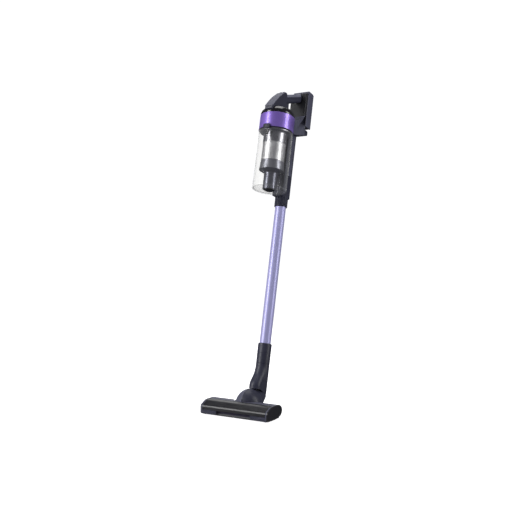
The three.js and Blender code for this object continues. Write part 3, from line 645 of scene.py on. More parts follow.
cone = turned(outer + [(39.6, 756.7), (33, 753.8), (25, 750), (21.6, 744), (21, 692)], BIN_Y, 128)
piece("cyclone_cone_shell", soften(cone, 0.2), "main_unit", cone_steel, ["cyclone_cone"])

# %% [markdown]
# ## The purple band
# The band is a lacquered ring over the motor. The exhaust leaves through a field of round holes
# on each side, big and close at the rear and fading to pinpricks towards the front. They are
# drilled for real, because a painted dot would show neither its own rim nor the dark inside.

# %% The band and its exhaust holes
BAND = dict(r=59.5, wall=3.0, foot=895.0, top=947.0, back=-54.3)
band = turned(rounded([(BAND["r"] - 3, BAND["foot"]), (BAND["r"], BAND["foot"], 1), (BAND["r"], BAND["top"], 1),
                       (BAND["r"] - 3, BAND["top"])], 4), BIN_Y, 160)
cut(band, block(-70, 70, BAND["back"], 0, 880, 960),
    block(-6.5, 6.5, BIN_Y - BAND["r"] - 1, BIN_Y - BAND["r"] + 4, 890, 903))
rows, columns, row_step, column_step = 9, 17, 4.7, 4.3
drills = ([], [])
for column in range(columns):
    for row in range(rows):
        off = abs(row - (rows - 1) / 2 + (0.5 if column % 2 else 0))
        radius = 1.75 - 0.062 * column - 0.012 * column * off
        if radius < 0.5 or (row == rows - 1 and column % 2 == 0 and column > 10):
            continue
        angle = math.radians(28.5 - column_step * column)
        height = BAND["foot"] + 7 + row_step * (row + (0.5 if column % 2 else 0))
        if height > BAND["top"] - 4:
            continue
        turn = Matrix.Translation((0, BIN_Y, height)) @ Matrix.Rotation(angle, 4, "Z")
        base = len(drills[0])
        for x in (BAND["r"] - 6, BAND["r"] + 4):
            for k in range(10):
                a = 2 * math.pi * k / 10
                drills[0].append(turn @ Vector((x, radius * math.cos(a), radius * math.sin(a))))
        drills[1].extend([tuple(base + k for k in range(10)), tuple(base + 10 + k for k in range(10))])
        drills[1].extend((base + k, base + (k + 1) % 10, base + 10 + (k + 1) % 10, base + 10 + k) for k in range(10))
right_drills = body_of(*drills)
left_drills = copy_of(right_drills, mirror=True)
cut(band, right_drills, left_drills)
piece("exhaust_band", soften(band, 0.25, 1, 50), "main_unit", purple, ["vent_band"])
print(len(drills[0]) // 20, "holes on each side")

# %% [markdown]
# ## The motor cover
# A polished black dome closes the top. Its profile is a smooth curve through a few heights, with
# a fine groove round the shoulder where the cover meets its rim.

# %% The dome
shoulder = smooth_line([(59, 947.3), (59, 953), (57.2, 960), (53, 966.6), (49.4, 969.9)], 5)
crown = smooth_line([(48.2, 971), (46, 972.4), (36, 976.4), (20, 979), (0, 980)], 5)
lining = [(0, 977), (34, 973.8), (47, 967), (50, 964.4), (56.2, 953), (56.2, 947.3)]
dome = turned(shoulder + [(49.1, 969.1), (48.4, 969.6)] + crown + lining, BIN_Y, 160)
piece("motor_cover_dome", soften(dome, 0.15), "main_unit", black_gloss, ["motor_housing"])

# %% [markdown]
# ## The parts nobody sees
# The filter, fan, motor, cells and board are sealed inside, and their CAD shapes are right as
# they are. They keep those shapes and only get a finish. The filter is foam, so it is made again
# with a soft ribbed top.

# %% The foam filter and finishes for the sealed parts
ribs = [(8 + 44 * k / 44, 905.2 + 0.8 * math.cos(2 * math.pi * k / 4)) for k in range(44, -1, -1)]
pad = turned([(8, 896.5), (51, 896.5), (52, 897.5)] + ribs, BIN_Y, 96)
piece("motor_filter_foam", soften(pad, 0.3), "main_unit", foam, ["pre_motor_filter"])
sealed = {"inner_cyclones": charcoal_light, "impeller": mesh_metal, "motor_can": plain_steel,
          "motor_bracket": charcoal, "battery_base": dark_plastic, "cell_pair_1": plain_steel,
          "cell_pair_2": plain_steel, "cell_pair_3": plain_steel, "control_board": circuit,
          "brush_motor": plain_steel, "motor_pinion": plain_steel, "drive_belt": rubber}
for name, finish in sealed.items():
    mesh = frame["nodes"][name].data
    mesh.materials.clear()
    mesh.materials.append(finish)
print(len(sealed), "sealed parts keep their CAD shape")

# %% [markdown]
# ## The duct and its socket
# A square duct carries the air up behind the bin, and its foot is a round socket for the wand.
# Its front is hollowed to clear the bin, and a long recess on each side holds a lighter strip.

# %% The duct column
def arm_edge(y):
    """The underside of the arms and the dock, which rises towards the rear."""
    return 896 + (y + 54) * 0.3307


duct = extruded(rounded([(-20, -34), (20, -34), (20, 25, 8), (-20, 25, 8)], 10), 688, 945, "z")
join(duct, rod(22.5, 655, 702))
cut(duct, extruded([(-60, arm_edge(-60) - 0.3), (60, arm_edge(60) - 0.3), (60, 1000), (-60, 1000)], -40, 40),
    rod(BIN["r"] + 0.8, 650, 1000, BIN_Y, 160), rod(18.9, 640, 701), rod(15.5, 690, 884),
    block(-12, 12, -60, 0, 852, 884), block(18.3, 23, -12, 28, 763, 990), block(-23, -18.3, -12, 28, 763, 990),
    block(-9.6, 9.6, 22, 40, 694, 742), ring(22.1, 24, 661, 662, 0.0))
piece("duct_column", soften(duct, 0.6), "main_unit", charcoal, ["air_duct"])

# %% The strips in the duct's side recesses and the wand's release button
strip = extruded(rounded([(-7, 765, 1.5), (12, 765, 1.5), (12, arm_edge(12) - 1), (-7, arm_edge(-7) - 1)]), 18.6, 20.2)
cut(strip, block(19.7, 21, -3.2, -2.4, 770, 890), block(19.7, 21, 7.4, 8.2, 770, 890))
soften(strip, 0.4)
other = copy_of(strip, mirror=True)
piece("duct_strip_right", strip, "main_unit", charcoal_light, ["slot_trim_right"])
piece("duct_strip_left", other, "main_unit", charcoal_light, ["slot_trim_left"])
button = extruded(rounded([(24, 697, 2), (27, 695, 2), (31, 705, 4), (31, 730, 4), (27, 741, 2), (24, 740, 2)]), -8.8, 8.8)
cut(button, *[cross_turned([(0, -10), (0.8, -10), (0.8, 10), (0, 10)], 31.3, h, 16) for h in (708, 712, 716, 720, 724, 728)])
piece("wand_release_button", soften(button, 0.5), "wand_catch", dark_plastic, ["wand_release"])

# %% [markdown]
# ## Arms, dock and battery plate
# Two hollow arms run back from the band to the plate that carries the battery. They narrow
# towards the rear in plan and sweep up to the plate from the side, so each is the part that a
# plan and a side view have in common, hollowed by the same two outlines a little smaller.

# %% The side arms
plan = [(0.15, -80), (58, -80), (50.4, -54), (34.6, 47), (34.6, 47.5), (0.15, 47.5)]
side = rounded([(-54, arm_edge(-54)), (47.5, arm_edge(47.5)), (47.5, 1010), (20, 984, 20), (-10, 966, 20), (-54, 947)], 10)
hollow_plan = [(-5, -80), (55, -80), (47.2, -54), (31.9, 46), (-5, 46)]
hollow_side = [(-62, arm_edge(-62) + 3), (45, arm_edge(45) + 3), (45, 1004), (20, 980), (-10, 962), (-62, 942)]
arm = keep(extruded(plan, 880, 1020, "z"), extruded(side, 0, 60))
hollow = keep(extruded(hollow_plan, 880, 1020, "z"), extruded(hollow_side, -10, 60))
cut(hollow, rod(59.7, 870, 1030, BIN_Y, 160))
cut(arm, hollow, rod(56.8, 870, 947, BIN_Y, 160), rod(59.3, 946, 1030, BIN_Y, 160), block(-1, 32.3, 36.7, 60, 880, 1100))
soften(arm, 0.9, 3)
other = copy_of(arm, mirror=True)
piece("arm_right", arm, "main_unit", charcoal_light, ["side_arm_right"])
piece("arm_left", other, "main_unit", charcoal_light, ["side_arm_left"])

# %% The battery plate and the dock under it
plate = extruded(rounded([(37, 939), (50, 939), (50, 1090, 4), (39, 1090, 6)]), -32, 32)
keep(plate, extruded(rounded([(-32, 37, 5), (32, 37, 5), (32, 50), (-32, 50)]), 900, 1100, "z"))
cut(plate, block(-22, 22, 40.5, 51, 1000, 1060), block(-28, 28, 36, 37.6, 1084, 1085))
# The plate gets the near-black finish: painted shade for the shadow under the bar and between the arms.
piece("battery_plate", soften(plate, 0.9, 3), "main_unit", shade_black, ["battery_housing"])
dock = extruded(rounded([(37.3, arm_edge(37)), (74, arm_edge(74), 3), (77, 942, 3), (77, 954, 3), (72, 956, 2),
                         (53, 956), (50.3, 960), (50.3, 938.6), (37.3, 938.6)]), -30, 30)
cut(dock, block(-31, -28.8, 57, 70, 941, 951), block(28.8, 31, 57, 70, 941, 951))
piece("battery_dock_shell", soften(dock, 0.8, 3), "main_unit", charcoal, ["battery_dock"])

# %% [markdown]
# ## The battery
# The pack is a rounded shell that slides up off the plate. Its side faces carry a shallow
# recessed panel, which breaks up the big flat side and gives the thumb a grip.

# %% The battery shell and its catch
def pack_plan(inset):
    return rounded([(-32 + inset, 52.4 + inset, 4), (32 - inset, 52.4 + inset, 4), (32 - inset, 93.5 - inset, 6),
                    (-32 + inset, 93.5 - inset, 6)], 8)


shell = cut(extruded(pack_plan(0), 968, 1100, "z"), extruded(pack_plan(2.2), 967, 1097.5, "z"))
keep(shell, extruded(rounded([(50, 968), (90.5, 968), (93.5, 978, 6), (93.5, 1100, 14), (50.6, 1100, 4)], 10), -33, 33))
panel = rounded([(60, 984, 4), (85, 984, 4), (85, 1084, 8), (60, 1084, 4)])
cut(shell, block(-9.4, 9.4, 89.5, 95, 984, 1008), extruded(panel, 31.4, 34), extruded(panel, -34, -31.4))
piece("battery_shell", soften(shell, 0.7, 3), "battery_pack", charcoal_light, ["battery_case"])
key = extruded(rounded([(91.5, 985), (94.1, 986, 1), (94.1, 1006, 1), (91.5, 1007)]), -9, 9)
cut(key, *[cross_turned([(0, -10), (0.6, -10), (0.6, 10), (0, 10)], 94.3, h, 12) for h in (990, 994, 998, 1002)])
piece("battery_catch_key", soften(key, 0.35), "battery_catch", charcoal_light, ["battery_release"])

# %% [markdown]
# ## The handle
# The handle is a rounded bar from the control hood back to the plate, climbing to the rear. It
# is swept along its own line, and a softer pad caps its top where the palm rests.

# %% The bar and its soft pad
def bar_line(first, last, steps=16):
    spots = [first + (last - first) * k / steps for k in range(steps + 1)]
    return [(y, 1036.5 + (y + 35) * 0.44) for y in spots]


bar_section = rounded([(-13, -15, 8), (13, -15, 8), (13, 15, 8), (-13, 15, 8)], 8)
bar = keep(swept(bar_line(-72, 48), bar_section), block(-20, 20, -61.7, 36.7, 970, 1100))
cut(bar, swept(bar_line(-58, 34), rounded([(-20, 5), (20, 5), (20, 20), (-20, 20)])))
piece("handle_core", soften(bar, 0.5), "main_unit", charcoal, ["handle_bar"])
# The pad is a real part, but its light grey is also painted light: it stands in for the lamps lighting the top of the
# bar.
pad_section = rounded([(-13.2, 5.3, 0.8), (13.2, 5.3, 0.8), (13.2, 15.3, 8.2), (-13.2, 15.3, 8.2)], 8)
pad = swept(bar_line(-57.5, 33.5, 24), pad_section)
piece("handle_grip_pad", soften(pad, 0.35), "main_unit", grip_pad_lit_grey)

# %% [markdown]
# ## The control hood
# A wedge of plastic stands on the dome and carries the keys. Its sloping front is a separate
# lighter panel that bows slightly, so the light slides over it.

# %% The hood, its panel and its keys
HOOD = dict(x=14.0, front=-150.0, back=-62.0, wall=3.5)


def slope(inset):
    """The bowed front of the hood, from its foot to its top, moved in by an inset."""
    spots = [Vector(p) for p in ((HOOD["front"], 968), (-128.5, 995.2), (-107.5, 1018.2), (-87, 1036.4), (-80, 1042))]
    ways = [(spots[min(i + 1, 4)] - spots[max(i - 1, 0)]).normalized() for i in range(5)]
    return smooth_line([p + Vector((w.y, -w.x)) * inset for p, w in zip(spots, ways)], 6)


def dome_room():
    return turned([(0, 900), (59.4, 900), (59.4, 953.4), (57.6, 960.4), (53.2, 967), (46.2, 972.6), (36, 976.8),
                   (20, 979.4), (0, 980.4)], BIN_Y, 128)


wide, within = HOOD["x"], HOOD["x"] - HOOD["wall"]
rear = HOOD["back"]
top_edge = rounded([(-80, 1042), (-76, 1044, 3), (rear, 1044, 6), (rear, 1007.8), (-46, 1014.8, 2), (-44, 985, 6),
                    (-44, 958), (-120, 956)], 8)[1:-1]
foot = rounded([(-44, 958), (HOOD["front"] + 3, 956, 2), (HOOD["front"], 959, 2), (HOOD["front"], 967.8)], 4)[1:]
hood = extruded(slope(0.4) + top_edge + foot, -wide, wide)
bed = slope(2.5)
cut(hood, extruded([(HOOD["front"] - 20, 967.6)] + bed[1:] + [(-79, 1060), (HOOD["front"] - 20, 1060)], -wide - 1, wide + 1),
    block(-within, within, -134, rear - 3.5, 940, 988),
    extruded([(-118, 986), (rear - 3.5, 986), (rear - 3.5, 1030), (-84, 1030)], -within, within), dome_room(),
    block(-within, -0.8, -77.2, -66.2, 1029, 1060), block(0.8, within, -77.2, -66.2, 1029, 1060))
piece("control_hood", soften(hood, 1.0, 3), "main_unit", charcoal, ["control_pod"])
front_panel = extruded(slope(0) + slope(2.2)[::-1], -wide - 2.4, wide + 2.4)
cut(front_panel, dome_room())
piece("hood_front_panel", soften(front_panel, 1.0, 3), "main_unit", charcoal_light, ["control_panel"])


def key_cap(name, x0, x1, node, *marks):
    form = extruded(rounded([(x0, -76.8, 1.5), (x1, -76.8, 1.5), (x1, -66.6, 1.5), (x0, -66.6, 1.5)]), 1036, 1045.5, "z")
    cut(form, *marks)
    piece(name, soften(form, 0.5, 3), name[:-4], charcoal_light, [node])


circle_mark = turned([(2.2, 1045.2), (2.9, 1045.2), (2.9, 1050), (2.2, 1050)], -71.7, 48)
circle_mark.data.transform(Matrix.Translation((-(within + 0.8) / 2, 0, 0)))
key_cap("power_key_cap", -within + 0.4, -1.2, "power_button", circle_mark)
key_cap("mode_key_cap", 1.2, within - 0.4, "mode_button", *[block(3, 8.6, y, y + 0.8, 1045.2, 1050) for y in (-74, -72, -70)])

# %% [markdown]
# ## The bin's latch
# A curved tab at the bottom of the band lets the bin go. It follows the band's curve, so a flat
# tab with rounded corners is trimmed by two turned walls.

# %% The latch tab
face = BIN_Y - BAND["r"]
tab = extruded(rounded([(-12.5, 887, 4), (12.5, 887, 4), (12.5, 903, 3), (-12.5, 903, 3)]), 0, 12, "z")
tab.data.transform(Matrix.Translation((0, face + 3, 0)) @ Matrix.Rotation(math.pi / 2, 4, "X"))
keep(tab, ring(61.4, 64.5, 880, 910))
for h in (890, 893, 896):
    cut(tab, ring(63.9, 66, h, h + 0.9))
join(tab, block(-5, 5, face - 3, face + 6, 896.5, 901))
piece("bin_latch_tab", soften(tab, 0.4), "bin_catch", charcoal, ["bin_latch"])

# %% [markdown]
# ## The wand
# The wand is a thin aluminium tube with a plastic fitting in each end. Its finish is satin and
# directional, so the tube itself stays a plain clean ring with small chamfers at its ends.

# %% The tube and its end fittings
WAND = dict(r=18.7, wall=1.3, foot=184.5, top=654.5)
bore = WAND["r"] - WAND["wall"]
tube = turned(rounded([(bore, WAND["foot"], 0.3), (WAND["r"], WAND["foot"], 0.5), (WAND["r"], WAND["top"], 0.5),
                       (bore, WAND["top"], 0.3)], 3), 0.0, 128)
piece("wand_lavender_tube", soften(tube, 0.12, 1, 50), "wand", lavender, ["wand_tube"])
inside = bore - 0.3
upper = turned(rounded([(15, 628.5), (inside, 628.5), (inside, 654.8), (18.5, 654.8, 0.4), (18.5, 662), (17.8, 662.6),
                        (17.8, 664.4), (18.5, 665), (18.5, 696.5, 1), (17.5, 698), (15, 698)], 3), 0.0, 96)
cut(upper, block(-5, 5, 16, 20, 700 - 20, 700 - 12))
piece("wand_upper_fitting", soften(upper, 0.25), "wand", dark_plastic, ["wand_top_fitting"])
lower = turned(rounded([(15, 142.5), (17.5, 142.5), (18.5, 144.5, 1), (18.5, 174), (17.8, 174.6), (17.8, 176.4),
                        (18.5, 177), (18.5, 184.2, 0.4), (inside, 184.2), (inside, 210.5), (15, 210.5)], 3), 0.0, 96)
piece("wand_lower_fitting", soften(lower, 0.25), "wand", dark_plastic, ["wand_bottom_fitting"])

# %% [markdown]
# ## The neck
# Below the wand a collar and a neck lead down to the swivel. The neck flares forward into a hood
# over the joint. It is a stack of rings, each the skin round two circles, hollowed, with the
# swivel's own shape and a little air cut out of it, so nothing touches when the stick swings or tips.

# %% The shape of the swivel, which both the neck and the hub need
HUB = dict(y=-58.0, z=30.0, r=50.0, half=43.0, core=41.0, foot=26.5)
HEEL = dict(y=2.0, z=48.0, r=23.0)
swing = Vector((0, HEEL["y"] - HUB["y"], HEEL["z"] - HUB["z"]))
TO_HUB = Matrix.Translation((0, HUB["y"], HUB["z"]))
TO_SWING = TO_HUB @ Matrix.Rotation(math.atan2(swing.z, swing.y) - math.pi / 2, 4, "X")


def swing_form(dome_r, core, ball, segments=96, steps=20):
    """Turned about the swing axis: a dome round the hub's centre, tapering to a ball at the heel."""
    taper = math.asin((core - ball) / swing.length)
    line = lambda h: (core - h * math.sin(taper)) / math.cos(taper)
    meet = 0.0
    while math.sqrt(dome_r ** 2 - meet ** 2) > line(meet):
        meet += 0.25
    end = math.asin(meet / dome_r)
    angles = [-math.pi / 2 + k / steps * (end + math.pi / 2) for k in range(steps + 1)]
    profile = [(max(0.0, dome_r * math.cos(a)) if k else 0.0, dome_r * math.sin(a)) for k, a in enumerate(angles)]
    angles = [taper + k / steps * (math.pi / 2 - taper) for k in range(steps + 1)]
    profile += [(ball * math.cos(a) if k < steps else 0.0, swing.length + ball * math.sin(a)) for k, a in enumerate(angles)]
    form = turned(profile, 0.0, segments)
    form.data.transform(TO_SWING)
    return form


print("the swing axis is", round(swing.length, 1), "mm from hub to heel")

# %% The neck's shell, the collar and the release pedal
NECK = dict(r=22.5, wall=3.0, rim=20.0, flare_r=20.0, flare=30.0, lip=33.0, top=118.0)
FLARE = smooth_line([(14, 30), (38, 30.4), (46, 30), (54, 28), (62, 23.5), (70, 18), (78, 13),
                     (86, 9.4), (96, 6.6), (106, 4.4), (114, 2)], 4)


def neck_form(inset, top, sides=96):
    """Rings of two circles and the straight sides between them; the small one moves forward."""
    rings = FLARE + [(top, 0)]
    places = []
    for height, forward in rings:
        for k in range(sides):
            a = 2 * math.pi * k / sides
            ahead = forward * math.sin(a) < NECK["flare_r"] - NECK["r"]
            radius = (NECK["flare_r"] if ahead else NECK["r"]) - inset
            places.append((radius * math.cos(a), radius * math.sin(a) - (forward if ahead else 0), height))
    last = (len(rings) - 1) * sides
    faces = [(row + k, row + (k + 1) % sides, row + sides + (k + 1) % sides, row + sides + k)
             for row in range(0, last, sides) for k in range(sides)]
    return body_of(places, faces + [tuple(range(sides))[::-1], tuple(range(last, last + sides))])


room = swing_form(HUB["r"] + 0.8, HUB["core"] + 0.8, HEEL["r"] + 0.8)
room.data.transform(Matrix.Rotation(lean, 4, "X") @ Matrix.Translation((0, 0, -STICK_FOOT)))
neck = cut(neck_form(0, NECK["top"] - 0.3), neck_form(NECK["wall"], NECK["top"] + 2))
rim_line = [(-200, -100), (-200, NECK["lip"]), (-NECK["flare"], NECK["lip"]), (-4, NECK["rim"]), (80, NECK["rim"]), (80, -100)]
cut(neck, room, extruded(rim_line, -80, 80),
    block(-10.5, 10.5, 17, 40, 53, 99))
piece("neck_shell_form", soften(neck, 0.4, 2, 40), "neck", charcoal, ["neck_shell"])
collar = turned(rounded([(19, 118), (22.5, 118, 0.6), (22.7, 150), (22.2, 150.5), (22.2, 151.3), (22.7, 151.8), (22.9, 181, 1),
                         (22, 184, 1), (19, 184)], 4), 0.0, 128)
piece("neck_collar_ring", soften(collar, 0.3), "neck", charcoal, ["neck_collar"])
pedal = extruded(rounded([(19.5, 56, 1), (23.5, 55, 2), (25.2, 66, 4), (25.6, 86, 4), (23.6, 97, 2), (19.5, 96, 1)]), -9.6, 9.6)
cut(pedal, *[cross_turned([(0, -10), (0.7, -10), (0.7, 10), (0, 10)], 25.7, h, 16) for h in (70, 74, 78, 82)])
piece("neck_release_pedal", soften(pedal, 0.5), "neck_catch", dark_plastic, ["neck_release"])

# %% [markdown]
# ## The swivel hub
# The hub is a dome split down the middle, with a crisp crease where its two halves meet. Each
# half is part of a ball turned about x, joined to the taper that runs back to the heel, hollow
# for the air, and trimmed underneath so that it can tip both ways over the floor.

# %% The two halves of the hub
def under_hub(depth, tilt):
    slab = block(-150, 150, -200, 200, -100 - depth, -depth)
    slab.data.transform(TO_HUB @ Matrix.Rotation(math.radians(tilt), 4, "X"))
    return slab


def trimmed(form, depth):
    return cut(form, under_hub(depth, 32), under_hub(depth, -12))


ball = (HUB["r"] ** 2 + HUB["half"] ** 2) / (2 * HUB["half"])
reach = math.asin(HUB["r"] / ball)
lens = [(ball * math.sin(reach * k / 18), ball * math.cos(reach * k / 18) - (ball - HUB["half"])) for k in range(19)]
half = cross_turned([(0.0, lens[0][1])] + lens[1:] + [(0, 0)], HUB["y"], HUB["z"], 128)


def right_side():
    return block(0.15, 80, -200, 100, -60, 200)


join(half, keep(swing_form(HUB["core"], HUB["core"] - 0.5, HEEL["r"]), right_side()))
trimmed(half, HUB["foot"])
join(half, cross_turned(rounded([(0, 40), (5, 40), (5, 49.5, 0.6), (0, 49.5)], 3), HUB["y"], HUB["z"], 48))
mouth = rod(15, 0, 60)
mouth.data.transform(TO_HUB @ Matrix.Rotation(math.pi / 2 + 0.08, 4, "X"))
outlet = rod(15, 0, 60)
outlet.data.transform(Matrix.Translation((0, HEEL["y"], HEEL["z"])) @ Matrix.Rotation(-lean, 4, "X"))
cut(half, trimmed(swing_form(38.5, 36, HEEL["r"] - 4, 64, 12), HUB["foot"] - 2.5), mouth, outlet)
keep(half, right_side())
soften(half, 0.35, 2, 40)
other = copy_of(half, mirror=True)
# The left half is painted lighter than the right: painted light and painted shade for the two sides of the crease.
piece("hub_half_right", half, "swivel_hub", charcoal, ["hub_right"], FLOOR)
piece("hub_half_left", other, "swivel_hub", lit_half_grey, ["hub_left"], FLOOR)

# %% [markdown]
# ## The floor head
# The head is one side view run 250 mm across. Its outline rises from the front edge in a slope,
# runs flat over the brush and falls round the back. The same outline, cut to different widths
# and depths, gives the cover, the smoked window, the two end caps and the sole.

# %% The cover and the smoked window
HEAD_HALF, CAP_WALL, WINDOW_EDGE = 125.0, 2.7, -108.0
INNER = HEAD_HALF - CAP_WALL - 0.3
head_outline = rounded([(-152, 4, 3), (-152, 30, 5), (-125, 45, 10), (-77, 45, 10), (-64, 36, 8), (-60, 25, 6),
                        (-67, 10, 8), (-100, 2.6, 8), (-146, 2.6, 3)], 10)
head_inside = [(-149.4, -5), (-149.4, 29, 4), (-124.2, 42.4, 9), (-78, 42.4, 9), (-66.6, 34, 8), (-63, 25, 5),
               (-69.5, 12, 6), (-80, -5)]


def hub_room(radius):
    steps = [-math.pi / 2 + math.pi * k / 40 for k in range(41)]
    profile = [(radius * math.cos(a) if 0 < k < 40 else 0.0, radius * math.sin(a)) for k, a in enumerate(steps)]
    form = turned(profile, 0.0, 96)
    form.data.transform(TO_HUB)
    return form


cover = cut(extruded(head_outline, -INNER, INNER), extruded(rounded(head_inside, 8), -INNER - 1, INNER + 1))
cut(cover, block(-INNER + 4, INNER - 4, -160, WINDOW_EDGE, -1, 60), hub_room(HUB["r"] + 1.2),
    block(43.4, 50.4, -93, -40, -1, 42), block(-50.4, -43.4, -93, -40, -1, 42), block(-47, 47, -100, -40, -1, 26),
    *[block(side * 62, side * 112, y, y + 1.1, 44.2, 46) for side in (1,) for y in (-98, -92, -86)],
    *[block(-112, -62, y, y + 1.1, 44.2, 46) for y in (-98, -92, -86)])
piece("head_rear_cover", soften(cover, 0.6), "floor_head", charcoal_light, ["head_cover"], FLOOR)
side = INNER - 4.3
window_line = rounded([(-152, 17), (-152, 30, 5), (-125, 45, 10), (WINDOW_EDGE - 0.3, 45), (WINDOW_EDGE - 0.3, 42.6),
                       (-124.4, 42.6, 9), (-149.6, 29, 4), (-149.6, 17)], 10)
window = cut(extruded(window_line, -side, side), hub_room(HUB["r"] + 1.2))
piece("head_smoked_window", soften(window, 0.5), "floor_head", smoked, ["head_window"], FLOOR)

# %% The ribbed front strips and the end caps
def ribbed_strip(start, end):
    """A strip whose front is a row of upright ribs, drawn in plan and raised."""
    count = round((end - start) / 2.4)
    pitch = (end - start) / count
    plan = [(start, -149.6)]
    for k in range(count):
        x = start + k * pitch
        plan += [(x + 0.1 * pitch, -151.2), (x + 0.25 * pitch, -152), (x + 0.75 * pitch, -152), (x + 0.9 * pitch, -151.2)]
    form = extruded(plan + [(end, -149.6)], 4, 16.6, "z")
    cut(form, *[block(start - 1, end + 1, -153, -151.3, z, z + 0.7) for z in (7.9, 12.1)])
    return soften(form, 0.2, 1, 40)


piece("front_ribs_left", ribbed_strip(-side, -64), "floor_head", charcoal_light, ["front_strip_left"], FLOOR)
piece("front_ribs_right", ribbed_strip(62.5, side), "floor_head", charcoal_light, ["front_strip_right"], FLOOR)
cap = extruded(head_outline, HEAD_HALF - CAP_WALL, HEAD_HALF)
centre = Vector((-106, 24))
inset = [tuple(centre + (Vector(p) - centre) * 0.86) for p in head_outline]
cut(cap, extruded(inset, HEAD_HALF - 0.5, HEAD_HALF + 1))
soften(cap, 0.9, 3)
other = copy_of(cap, mirror=True)
piece("end_cap_gloss_right", cap, "floor_head", cap_gloss, ["end_cap_right"], FLOOR)
piece("end_cap_gloss_left", other, "floor_head", cap_gloss, ["end_cap_left"], FLOOR)

# %% The sole
inside_line = [(y + (0.3 if y < -100 else -0.3), z - 0.3, *r) for y, z, *r in head_inside]
sole = keep(extruded(rounded(inside_line, 8), -INNER + 0.3, INNER - 0.3), block(-130, 130, -160, -40, 2.6, 5.2))
wall = keep(extruded(rounded(inside_line, 8), -108, 108), block(-130, 130, -110, -107.6, 2.6, 41.8))
join(sole, wall)
cut(sole, block(-107, 107, -146, -110, 0, 8), block(-46.2, 46.2, -106.5, -30, 0, 6), hub_room(HUB["r"] + 0.8))
# A dark lip across the front gap, there so that the gap under the head's front reads dark: a dark sheet standing in for
# the shade under the head.
shade_flap = [(-148, 3.5), (-145.2, 6.1), (-144.3, 7.8), (-143.6, 7.6), (-144.4, 5.4), (-146.4, 3.5)]
join(sole, extruded(shade_flap, -106, 106))
lug_line = rounded([(-92, 2.8), (-66, 2.8), (-47, 22, 4), (-47, 36, 6), (-58, 41.6, 6), (-70, 36, 6), (-92, 8)], 6)
for sign in (1, -1):
    join(sole, extruded(lug_line, *sorted((sign * 44.2, sign * 49.8))))
    cut(sole, cross_turned([(0, 40 * sign), (5.4, 40 * sign), (5.4, 55 * sign), (0, 55 * sign)], HUB["y"], HUB["z"], 48),
        block(*sorted((sign * 108.8, sign * 116.8)), -147, -134, 0, 8), block(*sorted((sign * 53, sign * 63)), -92.5, -71.2, 0, 8))
cut(sole, block(-2, 2, -152, -147.5, 0, 4), *[block(x, x + 3, -106, -100, 2, 3.4) for x in range(-100, -50, 12)],
    *[block(x, x + 3, -106, -100, 2, 3.4) for x in range(52, 102, 12)])
piece("head_sole", soften(sole, 0.3, 1), "floor_head", dark_plastic, ["sole_plate"], FLOOR)

# %% [markdown]
# ## The brush roller
# The roller carries four rows of bristle tufts that wind round it. Each tuft is a little tapered
# bundle that leans by a random amount, drawn from a fixed seed so that it never changes.

# %% The roller's core and its tufts
ROLLER = dict(y=-127.5, z=19.0, core=10.5, tip=16.4)
core = cross_turned(rounded([(0, -112), (4, -112), (4, -106), (10.5, -106, 1), (10.5, 106, 1), (4, 106), (4, 111.5),
                             (8, 111.5), (8, 116.5), (0, 116.5)], 3), ROLLER["y"], ROLLER["z"], 64)
piece("roller_core", soften(core, 0.3), "brush_roller", dark_plastic, ["brush_core"], FLOOR)
draw = random.Random(7)
vertices, faces, tufts_in_row = [], [], 64
for row in range(4):
    for k in range(tufts_in_row):
        x = -101.5 + 203 * k / (tufts_in_row - 1)
        angle = row * math.pi / 2 + x * 0.011 + draw.uniform(-0.03, 0.03)
        tip = ROLLER["tip"] + draw.uniform(-0.7, 0.0)
        lean_x = draw.uniform(-0.5, 0.5)
        base = len(vertices)
        for radius, size, shift in ((10.9, 1.15, 0.0), (13.5, 1.2, 0.4 * lean_x), (tip, 1.5, lean_x)):
            for j in range(6):
                a = 2 * math.pi * j / 6
                spot = Vector((x + shift + size * math.cos(a), size * 0.8 * math.sin(a), radius))
                spot.rotate(Matrix.Rotation(angle, 3, "X"))
                vertices.append(spot + Vector((0, ROLLER["y"], ROLLER["z"])))
        faces.append(tuple(base + j for j in range(6)))
        faces.append(tuple(base + 12 + j for j in range(6)))
        for level in (0, 6):
            faces += [(base + level + j, base + level + (j + 1) % 6, base + level + 6 + (j + 1) % 6, base + level + 6 + j)
                      for j in range(6)]
tufts = body_of(vertices, faces)
tufts.data.shade_smooth()
tufts.data.set_sharp_from_angle(angle=math.radians(50))
piece("roller_tufts", tufts, "brush_roller", bristle, ["brush_bristles"], FLOOR)
# A bristle nap nearly as deep as the tufts, so the gap under the head's front shows dark bristle instead of the pale
# floor: partly the roller's own sleeve, partly a dark fill standing in for the shade under the head.
nap = [(15.3 + 0.25 * (k % 2), -103 + 2.06 * k) for k in range(101)]
shade_filling_nap = cross_turned([(10.8, -103)] + nap + [(10.8, 103)], ROLLER["y"], ROLLER["z"], 96)
piece("roller_nap_shade_fill", soften(shade_filling_nap, 0.15, 1), "brush_roller", bristle, place=FLOOR)

